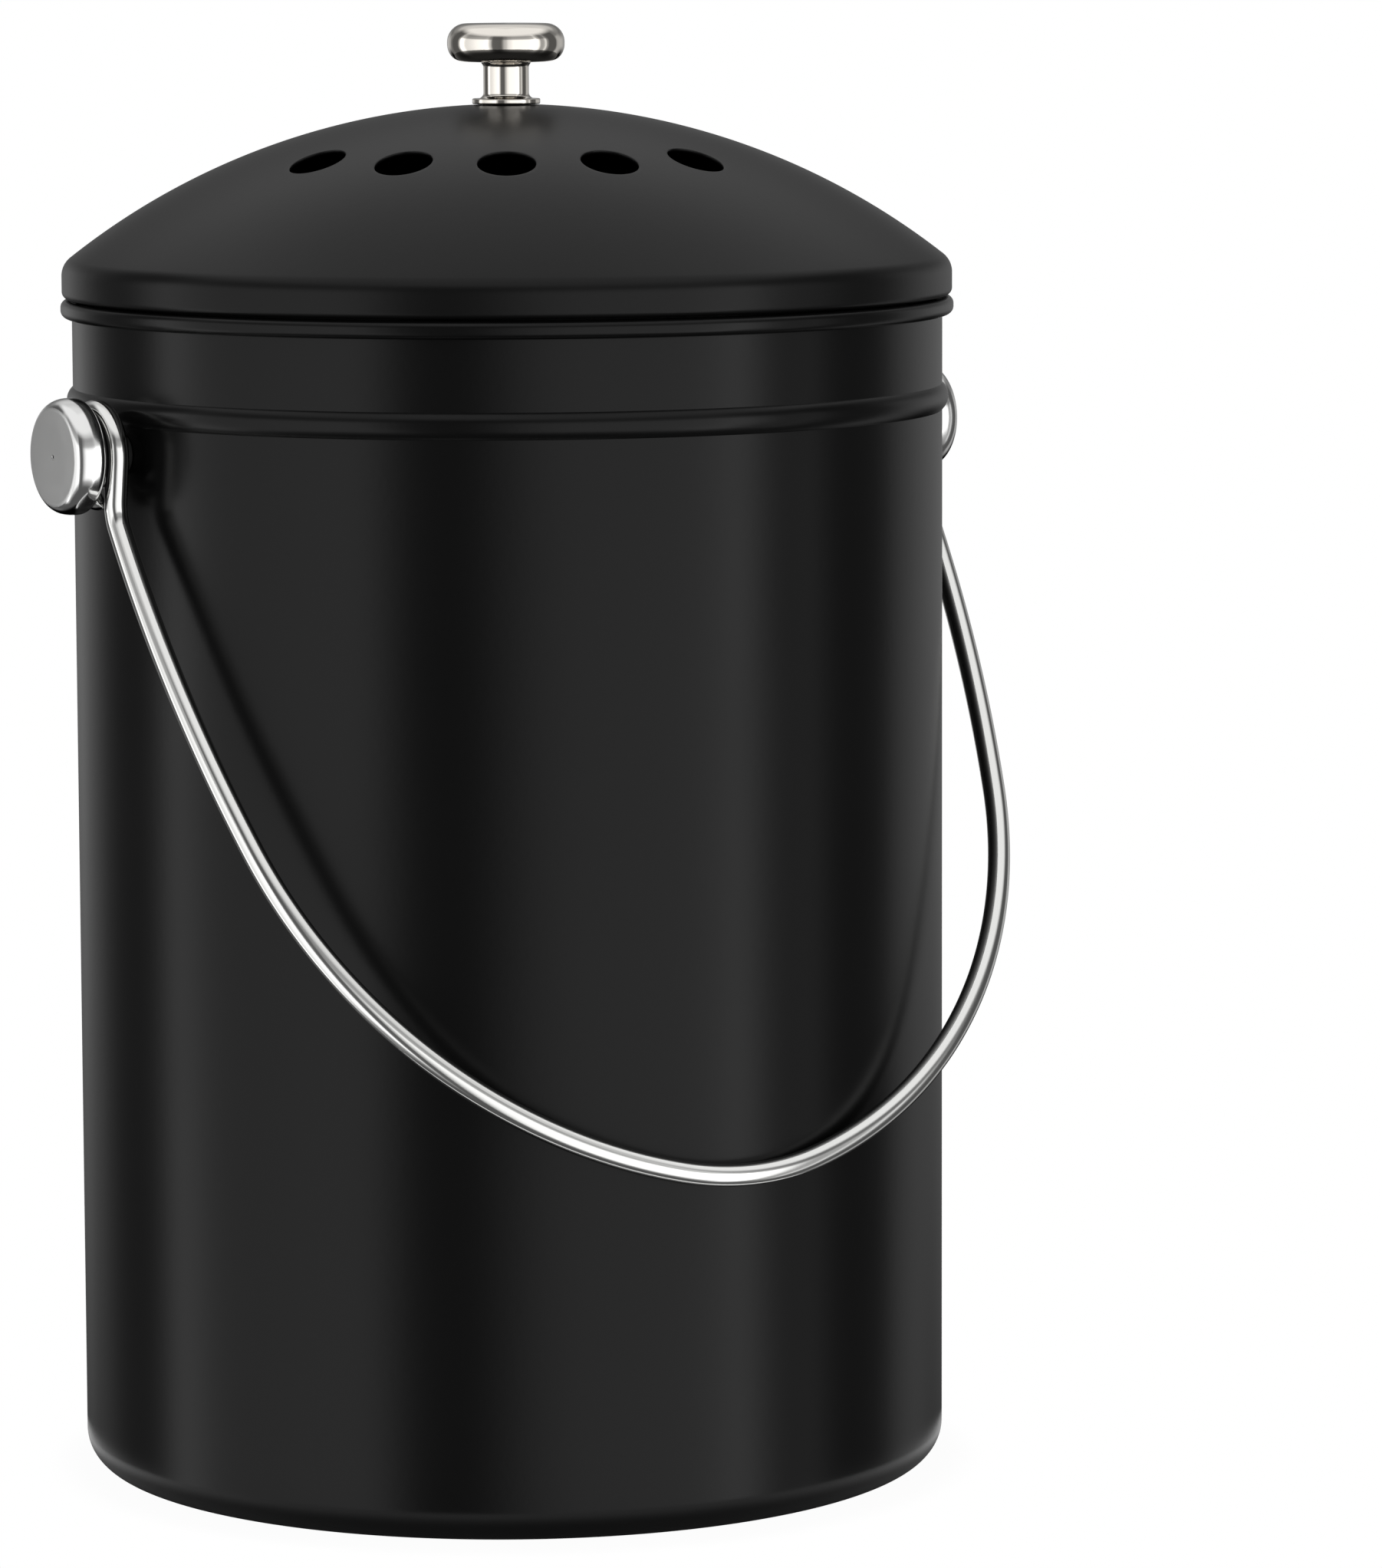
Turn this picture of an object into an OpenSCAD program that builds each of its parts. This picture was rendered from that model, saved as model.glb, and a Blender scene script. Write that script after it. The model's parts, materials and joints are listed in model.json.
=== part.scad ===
// Countertop compost caddy: a pressed steel bin, a lift-off domed lid with a filter pocket,
// and a round wire bail that swings on two button-headed pivot studs.
// Millimetres. The bin stands on Z = 0 with its axis on Z. The pivots lie along X,
// and the bail hangs at the front, towards -Y.

/* [Bin] */
// Outer radius of the bin's wall
bin_r = 89; // [75:0.5:110]
// Height of the rim above the base
bin_h = 240.9; // [200:0.1:300]
// Sheet thickness of the bin
bin_wall = 0.7; // [0.5:0.05:1]
// Outer radius of the rounded bottom edge
foot_r = 7.4; // [4:0.1:12]
// Radius of the stiffening ring pressed up into the base
swage_r = 62; // [45:0.5:70]
// Width of the stiffening ring
swage_w = 10; // [6:0.5:14]
// Height of the stiffening ring
swage_h = 1.5; // [0.8:0.1:2.5]

/* [Rim and rib] */
// How far the rolled rim stands out from the wall
bead_out = 2.3; // [1.8:0.1:2.8]
// Height of the rolled rim
bead_h = 3.6; // [3.4:0.1:6]
// Gap left where the rolled edge comes back to the wall
bead_gap = 0.25; // [0.15:0.05:0.5]
// Distance from the rim down to the middle of the rib
rib_drop = 20; // [17:0.1:20.4]
// How far the rib stands out from the wall
rib_out = 1.25; // [0.8:0.05:1.4]
// Radius of the rib's crown
rib_r = 2.3; // [1.8:0.1:3]
// Slope of the rib's lower flank from upright, in degrees
rib_flank = 24; // [22:1:35]

/* [Lid] */
// Sheet thickness of the dome
lid_wall = 0.7; // [0.5:0.05:0.9]
// Radius of the dome
dome_r = 144.8; // [125:0.2:220]
// Radius of the shoulder between the dome and the skirt
shoulder_r = 6.8; // [4:0.1:12]
// Height of the plain skirt below the shoulder
skirt_h = 2.1; // [0.4:0.1:4]
// How far the lid's edge lies inside the rolled rim's edge
lid_inset = 0.3; // [0.1:0.1:1]
// Outer radius of the hem that is rolled under the lid's edge
hem_r = 1.4; // [1.2:0.05:1.6]
// Height of the hem's inner leg, which carries the collar's flange
hem_leg = 0.4; // [0.2:0.1:1]
// How far the lid is turned on the bin, in degrees
lid_turn = -30.8; // [-180:0.1:180]

/* [Vents] */
// Radius of one vent hole
vent_r = 5.8; // [3:0.1:7]
// Radius of the circle that the arc of vents lies on
vent_circle = 53.3; // [40:0.1:60]
// Number of vents
vent_count = 5; // [3:1:7]
// Angle between neighbouring vents
vent_step = 22.5; // [18:0.5:25]

/* [Collar and filter] */
// Sheet thickness of the collar
collar_wall = 0.6; // [0.4:0.05:0.9]
// Gap between the collar and the inside of the bin
collar_gap = 3.3; // [2.5:0.1:8]
// Depth of the collar below the rim
collar_depth = 23.8; // [22:0.1:24.2]
// Outer radius of the collar's bottom edge
collar_edge_r = 2; // [1.2:0.1:4]
// Radius between the collar and its flange
flange_fillet = 1.3; // [0.6:0.1:2]
// How far the flange laps over the hem's leg
flange_lap = 1.1; // [0.8:0.1:1.3]
// Radius of the filter pocket
pocket_r = 59; // [45:0.5:64]
// Outer radius of the pocket's turned edge
pocket_edge_r = 1; // [0.95:0.05:1.5]
// Width of the stop at the top of the pocket
stop_w = 4; // [2:0.5:10]
// Thickness of the filter
filter_t = 9; // [5:0.5:12]
// How far the filter lies above the collar's floor
filter_recess = 7; // [3:0.5:9]

/* [Knob] */
// Radius of the knob's cap
cap_r = 12; // [9:0.1:18]
// Height of the knob's cap
cap_h = 7.5; // [6:0.1:12]
// Rounding of the cap's top edge
cap_top_r = 2.6; // [1:0.1:3]
// Rounding of the cap's lower edge
cap_low_r = 2.2; // [1:0.1:2.8]
// Radius of the knob's stem
stem_r = 4.65; // [4:0.05:6]
// Length of the knob's stem
stem_h = 7.75; // [5:0.05:14]
// Hollow radius at both ends of the stem
cove_r = 1.2; // [0.6:0.1:2]
// Radius of the knob's foot
foot_ring_r = 6.95; // [6.2:0.05:9]
// Height of the knob's foot
foot_ring_h = 1.1; // [0.6:0.1:2]

/* [Pivots] */
// Distance from the rim down to the pivot axis
pivot_drop = 28.5; // [28.4:0.1:60]
// Radius of the spacer's flange, beside the bail
spacer_r = 4.75; // [4.3:0.05:4.9]
// Thickness of the spacer's flange
spacer_flange = 1; // [0.6:0.1:1.5]
// Radius of the spacer's barrel
barrel_r = 3.9; // [3.6:0.05:4.2]
// Length of the spacer
spacer_len = 3.35; // [3:0.05:8]
// Radius of the stud's button
button_r = 11.6; // [10:0.1:15]
// Thickness of the stud's button
button_h = 5.1; // [4:0.1:8]
// Rounding of the button's outer edge
button_front_r = 2.4; // [1:0.1:2.4]
// Rounding of the button's inner edge
button_back_r = 1.5; // [0.5:0.1:1.5]
// Radius of the dimple in the middle of the button
dimple_r = 0.6; // [0.3:0.1:1.5]
// Radius of the stud's spigot
spigot_r = 3; // [2.8:0.1:3.5]
// Radius of the thrust washer behind the button
thrust_r = 9.4; // [8:0.1:9.8]
// Thickness of the thrust washer
thrust_t = 2.2; // [0.8:0.1:3]
// Depth of the stud's threaded hole
stud_thread = 9; // [7:0.5:9.5]
// Radius of the backing washer inside the bin
backing_r = 5; // [4.5:0.1:6]
// Length of the pivot screw's shank
pivot_screw_len = 8; // [6:0.5:9]

/* [Bail] */
// Radius of the bail's wire
wire_r = 2.3; // [1.8:0.05:2.6]
// Radius of the eye, to the middle of the wire
eye_r = 8.7; // [8:0.1:9.5]
// Angle of the eye's neck to the leg
neck_angle = 40; // [36:1:48]
// Angle left between the neck and the cut end of the eye
eye_open = 62; // [58:1:90]
// Radius of the knee between the neck and the leg
knee_r = 9; // [6:0.5:12]
// Radius of the long sweep of each leg
leg_r = 354; // [250:1:450]
// Turn of the leg at the end of the long sweep, in degrees
leg_turn = 11.7; // [8:0.1:16]
// Radius at the middle of the grip
grip_r = 59; // [40:1:80]
// Turn of the leg where the grip begins, in degrees
grip_turn = 74.5; // [60:0.5:80]

/* [Screws and washers] */
// Radius of the screw thread
thread_r = 2; // [1.5:0.05:2.2]
// Radius of a pan head
head_r = 4; // [3.5:0.1:4.5]
// Height of a pan head
head_h = 2.6; // [1.8:0.1:3.2]
// Rounding of a pan head
head_round = 1.4; // [0.4:0.1:1.5]
// Length of the cross recess in a head
cross_len = 4.2; // [3:0.1:5]
// Width of the cross recess
cross_w = 0.9; // [0.5:0.1:1.2]
// Depth of the cross recess
cross_depth = 1.3; // [0.8:0.1:1.5]
// Thickness of a flat washer
washer_t = 1; // [0.6:0.1:1.6]
// Radius of the flat washer under the knob
knob_washer_r = 6; // [5:0.1:9]
// Outer radius of the split lock washer
lock_r = 3.6; // [3.2:0.1:4.5]
// Thickness of the split lock washer
lock_t = 1; // [0.6:0.1:1.4]
// Width of the cut in the split lock washer
lock_cut = 0.7; // [0.4:0.1:1.2]
// Length of the knob screw's shank
knob_screw_len = 10; // [8:0.5:11]
// Depth of the knob's threaded hole
knob_thread = 9; // [8.5:0.5:12]

/* [Fits] */
// Gap between the lid and the rim it rests on
lid_seat = 0.3; // [0.1:0.1:0.5]
// Gap between the bail and the wall it rests on
bail_seat = 0.3; // [0.2:0.1:1]
// Play of the eye along the pivot, on each side
eye_play = 0.3; // [0.2:0.1:0.6]
// Running clearance of the eye on the stud, on the radius
pivot_fit = 0.07; // [0.03:0.01:0.1]
// Clearance of a shank or spigot in its hole, on the radius
hole_fit = 0.1; // [0.05:0.01:0.2]
// Clearance of a screw thread in its hole, on the radius
thread_fit = 0.05; // [0.02:0.01:0.08]
// Gap between a flat piece and the curved sheet it is clamped to
clamp_gap = 0.05; // [0.02:0.01:0.1]
// Gap round the filter in its pocket
filter_gap = 0.2; // [0.1:0.05:0.5]

/* [Hidden] */
$fn = 144;
// Facets of small round features
small_fn = 48;
// Overshoot of a cut past the face it opens
over = 1;
// How far the rib's flank lies inside its crown, so that the two cross
rib_tuck = 0.03;
// The bail's lengths of wire stop this far short of each joint, where a core joins them
joint_gap = 0.005;
core_depth = 0.15;
core_len = 0.8;

// Heights, from the base up
pivot_z = bin_h - pivot_drop;
rib_z = bin_h - rib_drop;
hem_z = bin_h + lid_seat + hem_r;
shoulder_z = hem_z + skirt_h;
flange_z = hem_z + hem_leg;
floor_z = bin_h - collar_depth;
filter_z = floor_z + filter_recess;
stop_z = filter_z + filter_t;

// The rib's flank: its length down to the wall, its lap into the crown, and where the wall meets it
flank_lap = 0.3;
flank_len = ((rib_r - rib_tuck) * cos(rib_flank) + rib_out - rib_r) / sin(rib_flank);
flank_foot = rib_z - (rib_r - rib_tuck) * sin(rib_flank) - flank_len * cos(rib_flank)
    + bin_wall * sin(rib_flank);

// Radii of the lid, taken from the bin's rim
rim_r = bin_r + bead_out;
curl_r = (bead_out + bin_wall) / 2;
lid_r = rim_r - lid_inset;
collar_r = bin_r - bin_wall - collar_gap;
flange_r = lid_r - 2 * hem_r + flange_lap;

// The dome's centre, set so that the dome runs smoothly into the shoulder
dome_run = lid_r - shoulder_r;
dome_z = shoulder_z - sqrt(pow(dome_r - shoulder_r, 2) - pow(dome_run, 2));
dome_edge = asin(dome_run / (dome_r - shoulder_r));
dome_top = dome_z + dome_r;

// Places along the pivot axis, from the wall outwards
spacer_x = bin_r + clamp_gap;
spacer_end = spacer_x + spacer_len;
eye_x = spacer_end + eye_play + wire_r;
thrust_x = eye_x + wire_r + eye_play;
button_x = thrust_x + thrust_t;
shoulder_pin_r = eye_r - wire_r - pivot_fit;
spigot_end = bin_r - bin_wall / 2;
backing_x = sqrt(pow(bin_r - bin_wall, 2) - pow(backing_r, 2)) - clamp_gap;

// The bail's centreline: neck, knee, long sweep, turn and grip, down each side to the middle
knee_tangent = knee_r * tan(neck_angle / 2);
neck_len = eye_r / tan(neck_angle) - knee_tangent;
leg_drop = eye_r / sin(neck_angle) + knee_tangent;
sweep_in = leg_r * (1 - cos(leg_turn));
sweep_down = leg_r * sin(leg_turn);
grip_in = grip_r * cos(grip_turn);
turn_r = (eye_x - sweep_in - grip_in) / (cos(leg_turn) - cos(grip_turn));
turn_down = turn_r * (sin(grip_turn) - sin(leg_turn));
grip_z = -leg_drop - sweep_down - turn_down;
bail_reach = grip_r * (1 - sin(grip_turn)) - grip_z;
bail_tilt = asin((bin_r + wire_r + bail_seat) / bail_reach);

// Places under the knob, from the dome downwards
knob_washer_z = dome_z + sqrt(pow(dome_r - lid_wall, 2) - pow(knob_washer_r, 2)) - clamp_gap;
lock_z = knob_washer_z - washer_t;
knob_head_z = lock_z - lock_t;

// A slice of the plane between two directions, at most half a turn apart
module wedge(from, to, reach) {
    middle = (from + to) / 2;
    far = 2 * reach;
    polygon([
        [0, 0],
        far * [cos(from), sin(from)],
        far * [cos((from + middle) / 2), sin((from + middle) / 2)],
        far * [cos(middle), sin(middle)],
        far * [cos((to + middle) / 2), sin((to + middle) / 2)],
        far * [cos(to), sin(to)]
    ]);
}

// Section of a sheet bent round a centre, with r its outer radius
module bend(centre, r, t, from, to) {
    translate(centre) intersection() {
        difference() {
            circle(r);
            circle(r - t);
        }
        wedge(from, to, r);
    }
}

// Section of a straight sheet between two corners
module strip(low, high) {
    translate(low) square(high - low);
}

// Filled half section of the bin's outside below the rib, or of its inside when inset by the wall
module bin_outline(inset, top) {
    r = bin_r - inset;
    corner = bin_r - foot_r;
    swage_arc = (pow(swage_w / 2, 2) + pow(swage_h, 2)) / (2 * swage_h);
    difference() {
        union() {
            strip([0, inset], [corner, top]);
            strip([corner - over, foot_r], [r, top]);
            translate([corner, foot_r]) circle(foot_r - inset);
        }
        translate([swage_r, swage_h - swage_arc]) circle(swage_arc + inset);
    }
}

// The rib: a sloping lower flank, a round crown, and the wall above it up to the rim
module rib_section() {
    centre = [bin_r + rib_out - rib_r, rib_z];
    top_angle = acos((rib_r - rib_out - bin_wall) / (rib_r - bin_wall));
    translate(centre) rotate(-rib_flank)
        strip([rib_r - rib_tuck - bin_wall, -flank_len], [rib_r - rib_tuck, flank_lap]);
    bend(centre, rib_r, bin_wall, -rib_flank, top_angle, $fn = small_fn);
    strip([bin_r - bin_wall, rib_z + (rib_r - bin_wall / 2) * sin(top_angle)],
        [bin_r, bin_h - curl_r]);
}

// The rolled rim: up the wall, over, down outside and back to the wall
module rim_section() {
    centre_r = rim_r - curl_r;
    top = bin_h - curl_r;
    low = bin_h - bead_h + curl_r;
    bend([centre_r, top], curl_r, bin_wall, 0, 180);
    strip([rim_r - bin_wall, low], [rim_r, top]);
    bend([centre_r, low], curl_r, bin_wall, -90, 0);
    strip([bin_r + bead_gap, low - curl_r], [centre_r, low - curl_r + bin_wall]);
}

module bin_body() {
    color("#242424") difference() {
        rotate_extrude() {
            intersection() {
                difference() {
                    bin_outline(0, flank_foot);
                    bin_outline(bin_wall, bin_h);
                }
                square([rim_r, bin_h]);
            }
            rib_section();
            rim_section();
        }
        for (side = [0, 180])
            rotate(side) translate([bin_r, 0, pivot_z]) rotate([0, 90, 0])
                cylinder(r = spigot_r + hole_fit, h = bin_wall * 6, center = true, $fn = small_fn);
    }
}

// Places a piece that is drawn along +Z from the bin's axis on one of the two pivots
module on_pivot(side) {
    translate([0, 0, pivot_z]) rotate([0, side * 90, 0]) children();
}

// A flat ring
module ring(r, hole, t) {
    rotate_extrude() strip([hole, 0], [r, t]);
}

// A barrel on the wall with a thin flange beside the bail
module spacer(side) {
    hole = spigot_r + hole_fit;
    color("#1b1b1b") on_pivot(side) translate([0, 0, spacer_x]) rotate_extrude($fn = small_fn) {
        strip([hole, 0], [barrel_r, spacer_len]);
        strip([hole, spacer_len - spacer_flange], [spacer_r, spacer_len]);
    }
}

module thrust_washer(side) {
    color("#161616") on_pivot(side) translate([0, 0, thrust_x])
        ring(thrust_r, shoulder_pin_r + hole_fit, thrust_t);
}

// Half section of a round cap with both edges rounded
module cap_section(r, h, top, low) {
    strip([0, 0], [r - low, h]);
    strip([0, low], [r, h - top]);
    strip([0, h - top], [r - top, h]);
    translate([r - low, low]) circle(low, $fn = small_fn);
    translate([r - top, h - top]) circle(top, $fn = small_fn);
}

module pivot_stud(side) {
    color("#c9c9c6") on_pivot(side) difference() {
        rotate_extrude() {
            translate([0, button_x])
                cap_section(button_r, button_h, button_front_r, button_back_r);
            strip([0, spacer_end], [shoulder_pin_r, button_x]);
            strip([0, spigot_end], [spigot_r, spacer_end]);
        }
        translate([0, 0, spigot_end - over])
            cylinder(r = thread_r, h = stud_thread + over, $fn = small_fn);
        translate([0, 0, button_x + button_h])
            sphere(dimple_r, $fn = small_fn);
    }
}

module backing_washer(side) {
    color("#b9bab8") on_pivot(side) translate([0, 0, backing_x - washer_t])
        ring(backing_r, thread_r + hole_fit, washer_t);
}

// A pan-head screw: its shank points along +Z from the seat of the head at Z = 0
module pan_screw(len) {
    shank = thread_r - thread_fit;
    difference() {
        union() {
            rotate_extrude() {
                strip([0, -head_h + head_round], [head_r, 0]);
                strip([0, -head_h], [head_r - head_round, -head_h + head_round]);
                intersection() {
                    translate([head_r - head_round, -head_h + head_round])
                        circle(head_round, $fn = small_fn);
                    strip([0, -head_h], [head_r, 0]);
                }
            }
            cylinder(r = shank, h = len, $fn = small_fn);
        }
        for (turn = [0, 90])
            rotate(turn) translate([0, 0, -head_h])
                cube([cross_len, cross_w, 2 * cross_depth], center = true);
    }
}

module pivot_screw(side) {
    color("#b9bab8") on_pivot(side) translate([0, 0, backing_x - washer_t])
        pan_screw(pivot_screw_len);
}

// An arc of wire about the Z axis, with each end just short of its joint
module wire_arc(r, from, to) {
    trim = joint_gap / r * 180 / PI;
    rotate(from + trim) rotate_extrude(angle = to - from - 2 * trim)
        translate([r, 0]) circle(wire_r, $fn = small_fn);
}

// An arc in the bail's own plane: it starts at a heading from straight down
// and turns inwards to another
module wire_sweep(start, r, from, to) {
    translate(start + r * [-cos(from), 0, sin(from)]) rotate([90, 0, 0]) wire_arc(r, -to, -from);
}

// An arc in the upright plane of the eye: angles run from the back, over the top, to the front
module wire_loop(centre, r, from, to) {
    translate(centre) rotate([90, 0, 90]) wire_arc(r, from, to);
}

// The core of a joint, along +Z
module wire_core() {
    cylinder(r = wire_r - core_depth, h = 2 * core_len, center = true, $fn = small_fn);
}

// The eye round the pivot, its neck, and the knee where the leg begins
module bail_eye() {
    neck = 180 + neck_angle;
    touch = eye_r * [0, cos(neck), sin(neck)];
    wire_loop([0, 0, 0], eye_r, neck + eye_open - 360, neck);
    translate(touch) rotate([neck, 0, 0]) {
        wire_core();
        translate([0, 0, joint_gap])
            cylinder(r = wire_r, h = neck_len - 2 * joint_gap, $fn = small_fn);
        translate([0, 0, neck_len]) wire_core();
    }
    wire_loop([0, -knee_r, -leg_drop], knee_r, 0, neck_angle);
    translate([0, 0, -leg_drop]) wire_core();
}

// One leg of the bail, from its eye to the start of the grip
module bail_leg() {
    turn_start = [eye_x - sweep_in, 0, -leg_drop - sweep_down];
    translate([eye_x, 0, 0]) bail_eye();
    wire_sweep([eye_x, 0, -leg_drop], leg_r, 0, leg_turn);
    translate(turn_start) rotate([0, leg_turn, 0]) wire_core();
    wire_sweep(turn_start, turn_r, leg_turn, grip_turn);
    translate([grip_in, 0, grip_z]) rotate([0, grip_turn, 0]) wire_core();
}

module bail_handle() {
    color("#c4c4c2") translate([0, 0, pivot_z]) rotate([-bail_tilt, 0, 0]) {
        bail_leg();
        mirror([1, 0, 0]) bail_leg();
        wire_sweep([grip_in, 0, grip_z], grip_r, grip_turn, 180 - grip_turn);
    }
}

// The dome, its shoulder, the short skirt and the hem rolled under it
module dome_section() {
    hem_centre = lid_r - hem_r;
    bend([0, dome_z], dome_r, lid_wall, 90 - dome_edge, 90);
    bend([dome_run, shoulder_z], shoulder_r, lid_wall, 0, 90 - dome_edge);
    strip([lid_r - lid_wall, hem_z], [lid_r, shoulder_z]);
    bend([hem_centre, hem_z], hem_r, lid_wall, -180, 0, $fn = small_fn);
    strip([hem_centre - hem_r, hem_z], [hem_centre - hem_r + lid_wall, flange_z]);
}

// The arc of vents is at the front, and the knob's screw has a hole in the middle
module lid_dome() {
    vent_tilt = asin(vent_circle / dome_r);
    first = -90 - vent_step * (vent_count - 1) / 2;
    color("#242424") difference() {
        rotate_extrude() dome_section();
        for (step = [0 : vent_count - 1])
            translate([0, 0, dome_z]) rotate(lid_turn + first + step * vent_step)
                rotate([0, vent_tilt, 0]) translate([0, 0, dome_r])
                    cylinder(r = vent_r, h = 8 * lid_wall, center = true, $fn = small_fn);
        translate([0, 0, dome_top])
            cylinder(r = thread_r + hole_fit, h = 8 * lid_wall, center = true, $fn = small_fn);
    }
}

// From the flange, down the collar, across its floor and up the filter pocket to the stop
module collar_section() {
    t = collar_wall;
    flange_start = collar_r + flange_fillet;
    pocket_out = pocket_r + t;
    strip([flange_start, flange_z], [flange_r, flange_z + t]);
    bend([flange_start, flange_z - flange_fillet], flange_fillet + t, t, 90, 180);
    strip([collar_r - t, floor_z + collar_edge_r], [collar_r, flange_z - flange_fillet]);
    bend([collar_r - collar_edge_r, floor_z + collar_edge_r], collar_edge_r, t, -90, 0);
    strip([pocket_r + pocket_edge_r, floor_z], [collar_r - collar_edge_r, floor_z + t]);
    bend([pocket_r + pocket_edge_r, floor_z + pocket_edge_r], pocket_edge_r, t, 180, 270);
    strip([pocket_r, floor_z + pocket_edge_r], [pocket_out, stop_z + t - pocket_edge_r]);
    bend([pocket_out - pocket_edge_r, stop_z + t - pocket_edge_r], pocket_edge_r, t, 0, 90);
    strip([pocket_r - stop_w, stop_z], [pocket_out - pocket_edge_r, stop_z + t]);
}

module lid_collar() {
    color("#262626") rotate_extrude() collar_section();
}

module charcoal_filter() {
    color("#1c1c1c") translate([0, 0, filter_z]) cylinder(r = pocket_r - filter_gap, h = filter_t);
}

// Turned in one piece: foot, stem with a cove at each end, and the cap
module knob() {
    stem_z = dome_top + foot_ring_h;
    cap_z = stem_z + stem_h;
    color("#c9c9c6") difference() {
        rotate_extrude() {
            translate([0, cap_z]) cap_section(cap_r, cap_h, cap_top_r, cap_low_r);
            difference() {
                strip([0, stem_z], [stem_r + cove_r, cap_z]);
                strip([stem_r, stem_z + cove_r], [stem_r + cove_r + over, cap_z - cove_r]);
                for (z = [stem_z + cove_r, cap_z - cove_r])
                    translate([stem_r + cove_r, z]) circle(cove_r, $fn = small_fn);
            }
            strip([0, dome_top], [foot_ring_r, stem_z]);
        }
        translate([0, 0, dome_top - over])
            cylinder(r = thread_r, h = knob_thread + over, $fn = small_fn);
    }
}

module knob_washer() {
    color("#b9bab8") translate([0, 0, lock_z]) ring(knob_washer_r, thread_r + hole_fit, washer_t);
}

module knob_lock_washer() {
    color("#b0b0ae") translate([0, 0, knob_head_z]) difference() {
        ring(lock_r, thread_r + hole_fit, lock_t, $fn = small_fn);
        translate([0, -lock_cut / 2, -over]) cube([2 * lock_r, lock_cut, lock_t + 2 * over]);
    }
}

module knob_screw() {
    color("#b9bab8") translate([0, 0, knob_head_z]) pan_screw(knob_screw_len);
}

bin_body();
spacer(-1);  // spacer_left
spacer(1);  // spacer_right
thrust_washer(-1);  // thrust_washer_left
thrust_washer(1);  // thrust_washer_right
pivot_stud(-1);  // pivot_stud_left
pivot_stud(1);  // pivot_stud_right
backing_washer(-1);  // backing_washer_left
backing_washer(1);  // backing_washer_right
pivot_screw(-1);  // pivot_screw_left
pivot_screw(1);  // pivot_screw_right
bail_handle();
lid_dome();
lid_collar();
charcoal_filter();
knob();
knob_washer();
knob_lock_washer();
knob_screw();
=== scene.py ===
"""Countertop compost caddy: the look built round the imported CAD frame.

Lengths are in millimetres up to the moment a mesh is made. Each shape is a grid of points, worked
out as whole arrays from a profile or a path, and each finish is a node material on object
coordinates, or on the wire's own UV map where the drawing marks follow the wire.
"""

import json
import math

import bmesh
import bpy
import numpy as np
from mathutils import Matrix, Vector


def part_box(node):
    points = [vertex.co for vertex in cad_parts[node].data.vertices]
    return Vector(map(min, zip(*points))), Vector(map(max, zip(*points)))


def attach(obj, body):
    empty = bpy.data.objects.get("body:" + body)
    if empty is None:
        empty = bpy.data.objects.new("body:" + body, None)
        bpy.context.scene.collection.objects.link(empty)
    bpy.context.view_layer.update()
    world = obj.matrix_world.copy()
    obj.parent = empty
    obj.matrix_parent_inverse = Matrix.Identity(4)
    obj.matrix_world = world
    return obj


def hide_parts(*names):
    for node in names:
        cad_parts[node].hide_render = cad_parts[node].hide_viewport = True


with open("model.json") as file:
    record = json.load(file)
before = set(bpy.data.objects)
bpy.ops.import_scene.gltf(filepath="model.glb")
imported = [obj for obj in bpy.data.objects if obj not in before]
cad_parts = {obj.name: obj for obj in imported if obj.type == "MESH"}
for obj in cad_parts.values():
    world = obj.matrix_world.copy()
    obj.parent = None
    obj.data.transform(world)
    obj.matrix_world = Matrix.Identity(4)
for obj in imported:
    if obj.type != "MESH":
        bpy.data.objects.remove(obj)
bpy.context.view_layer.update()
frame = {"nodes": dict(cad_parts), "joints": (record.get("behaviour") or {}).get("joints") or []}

MM = 0.001
# Points of a line that are nearer than this count as one
APART = 0.02


def node_box(name):
    """A CAD node's lowest and highest corner, in millimetres."""
    low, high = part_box(name)
    return np.array(low) / MM, np.array(high) / MM


# ---------------------------------------------------------------- sizes

# Bin
BIN_R = 89.0
BIN_WALL = 0.7
BIN_H = node_box("bin_body")[1][2]
FOOT_R = 7.4
# The ring pressed up into the base
SWAGE_R = 62.0
SWAGE_W = 10.0
SWAGE_H = 1.5
# The rim, rolled outwards and down
BEAD_OUT = 2.3
BEAD_H = 3.6
BEAD_GAP = 0.25
# The ridge round the wall
RIB_TOP = BIN_H - 17.9
RIB_Z = BIN_H - 20.3
RIB_FOOT = BIN_H - 22.94
RIB_OUT = 1.25

# Lid
LID_WALL = 0.7
DOME_R = 144.8
SHOULDER_R = 4.5
HEM_R = 1.4
HEM_LEG = 0.4
LID_SEAT = 0.3
SKIRT_H = 3.2
LID_R = node_box("lid_dome")[1][0]
LID_TURN = math.radians(-30.8)
VENTS = 5
VENT_R = 5.8
VENT_LIP = 0.25
VENT_CIRCLE = 53.3
# Radii of the band of the dome that holds the vents
BAND_R = (44.0, 62.6)

# Collar and filter
COLLAR_WALL = 0.6
COLLAR_R = 85.0
COLLAR_EDGE_R = 2.0
FLANGE_FILLET = 1.3
FLANGE_R = node_box("lid_collar")[1][0]
COLLAR_FLOOR = node_box("lid_collar")[0][2]
POCKET_R = 59.0
POCKET_EDGE_R = 1.0
STOP_W = 4.0
FILTER_LOW, FILTER_HIGH = node_box("charcoal_filter")
FILTER_EDGE_R = 1.2
# Waves in the felt's faces, which end that far from the edge and grow to their height from there
WAVES = 14
WAVE_H = 0.035
SHORT_WAVE, LONG_WAVE = 5.0, 26.0
WAVES_END, WAVES_FADE = 2.0, 6.0

# Knob and pivot studs
KNOB_LOW, KNOB_HIGH = node_box("knob")
CAP_R = KNOB_HIGH[0]
CAP_H = 7.8
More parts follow.
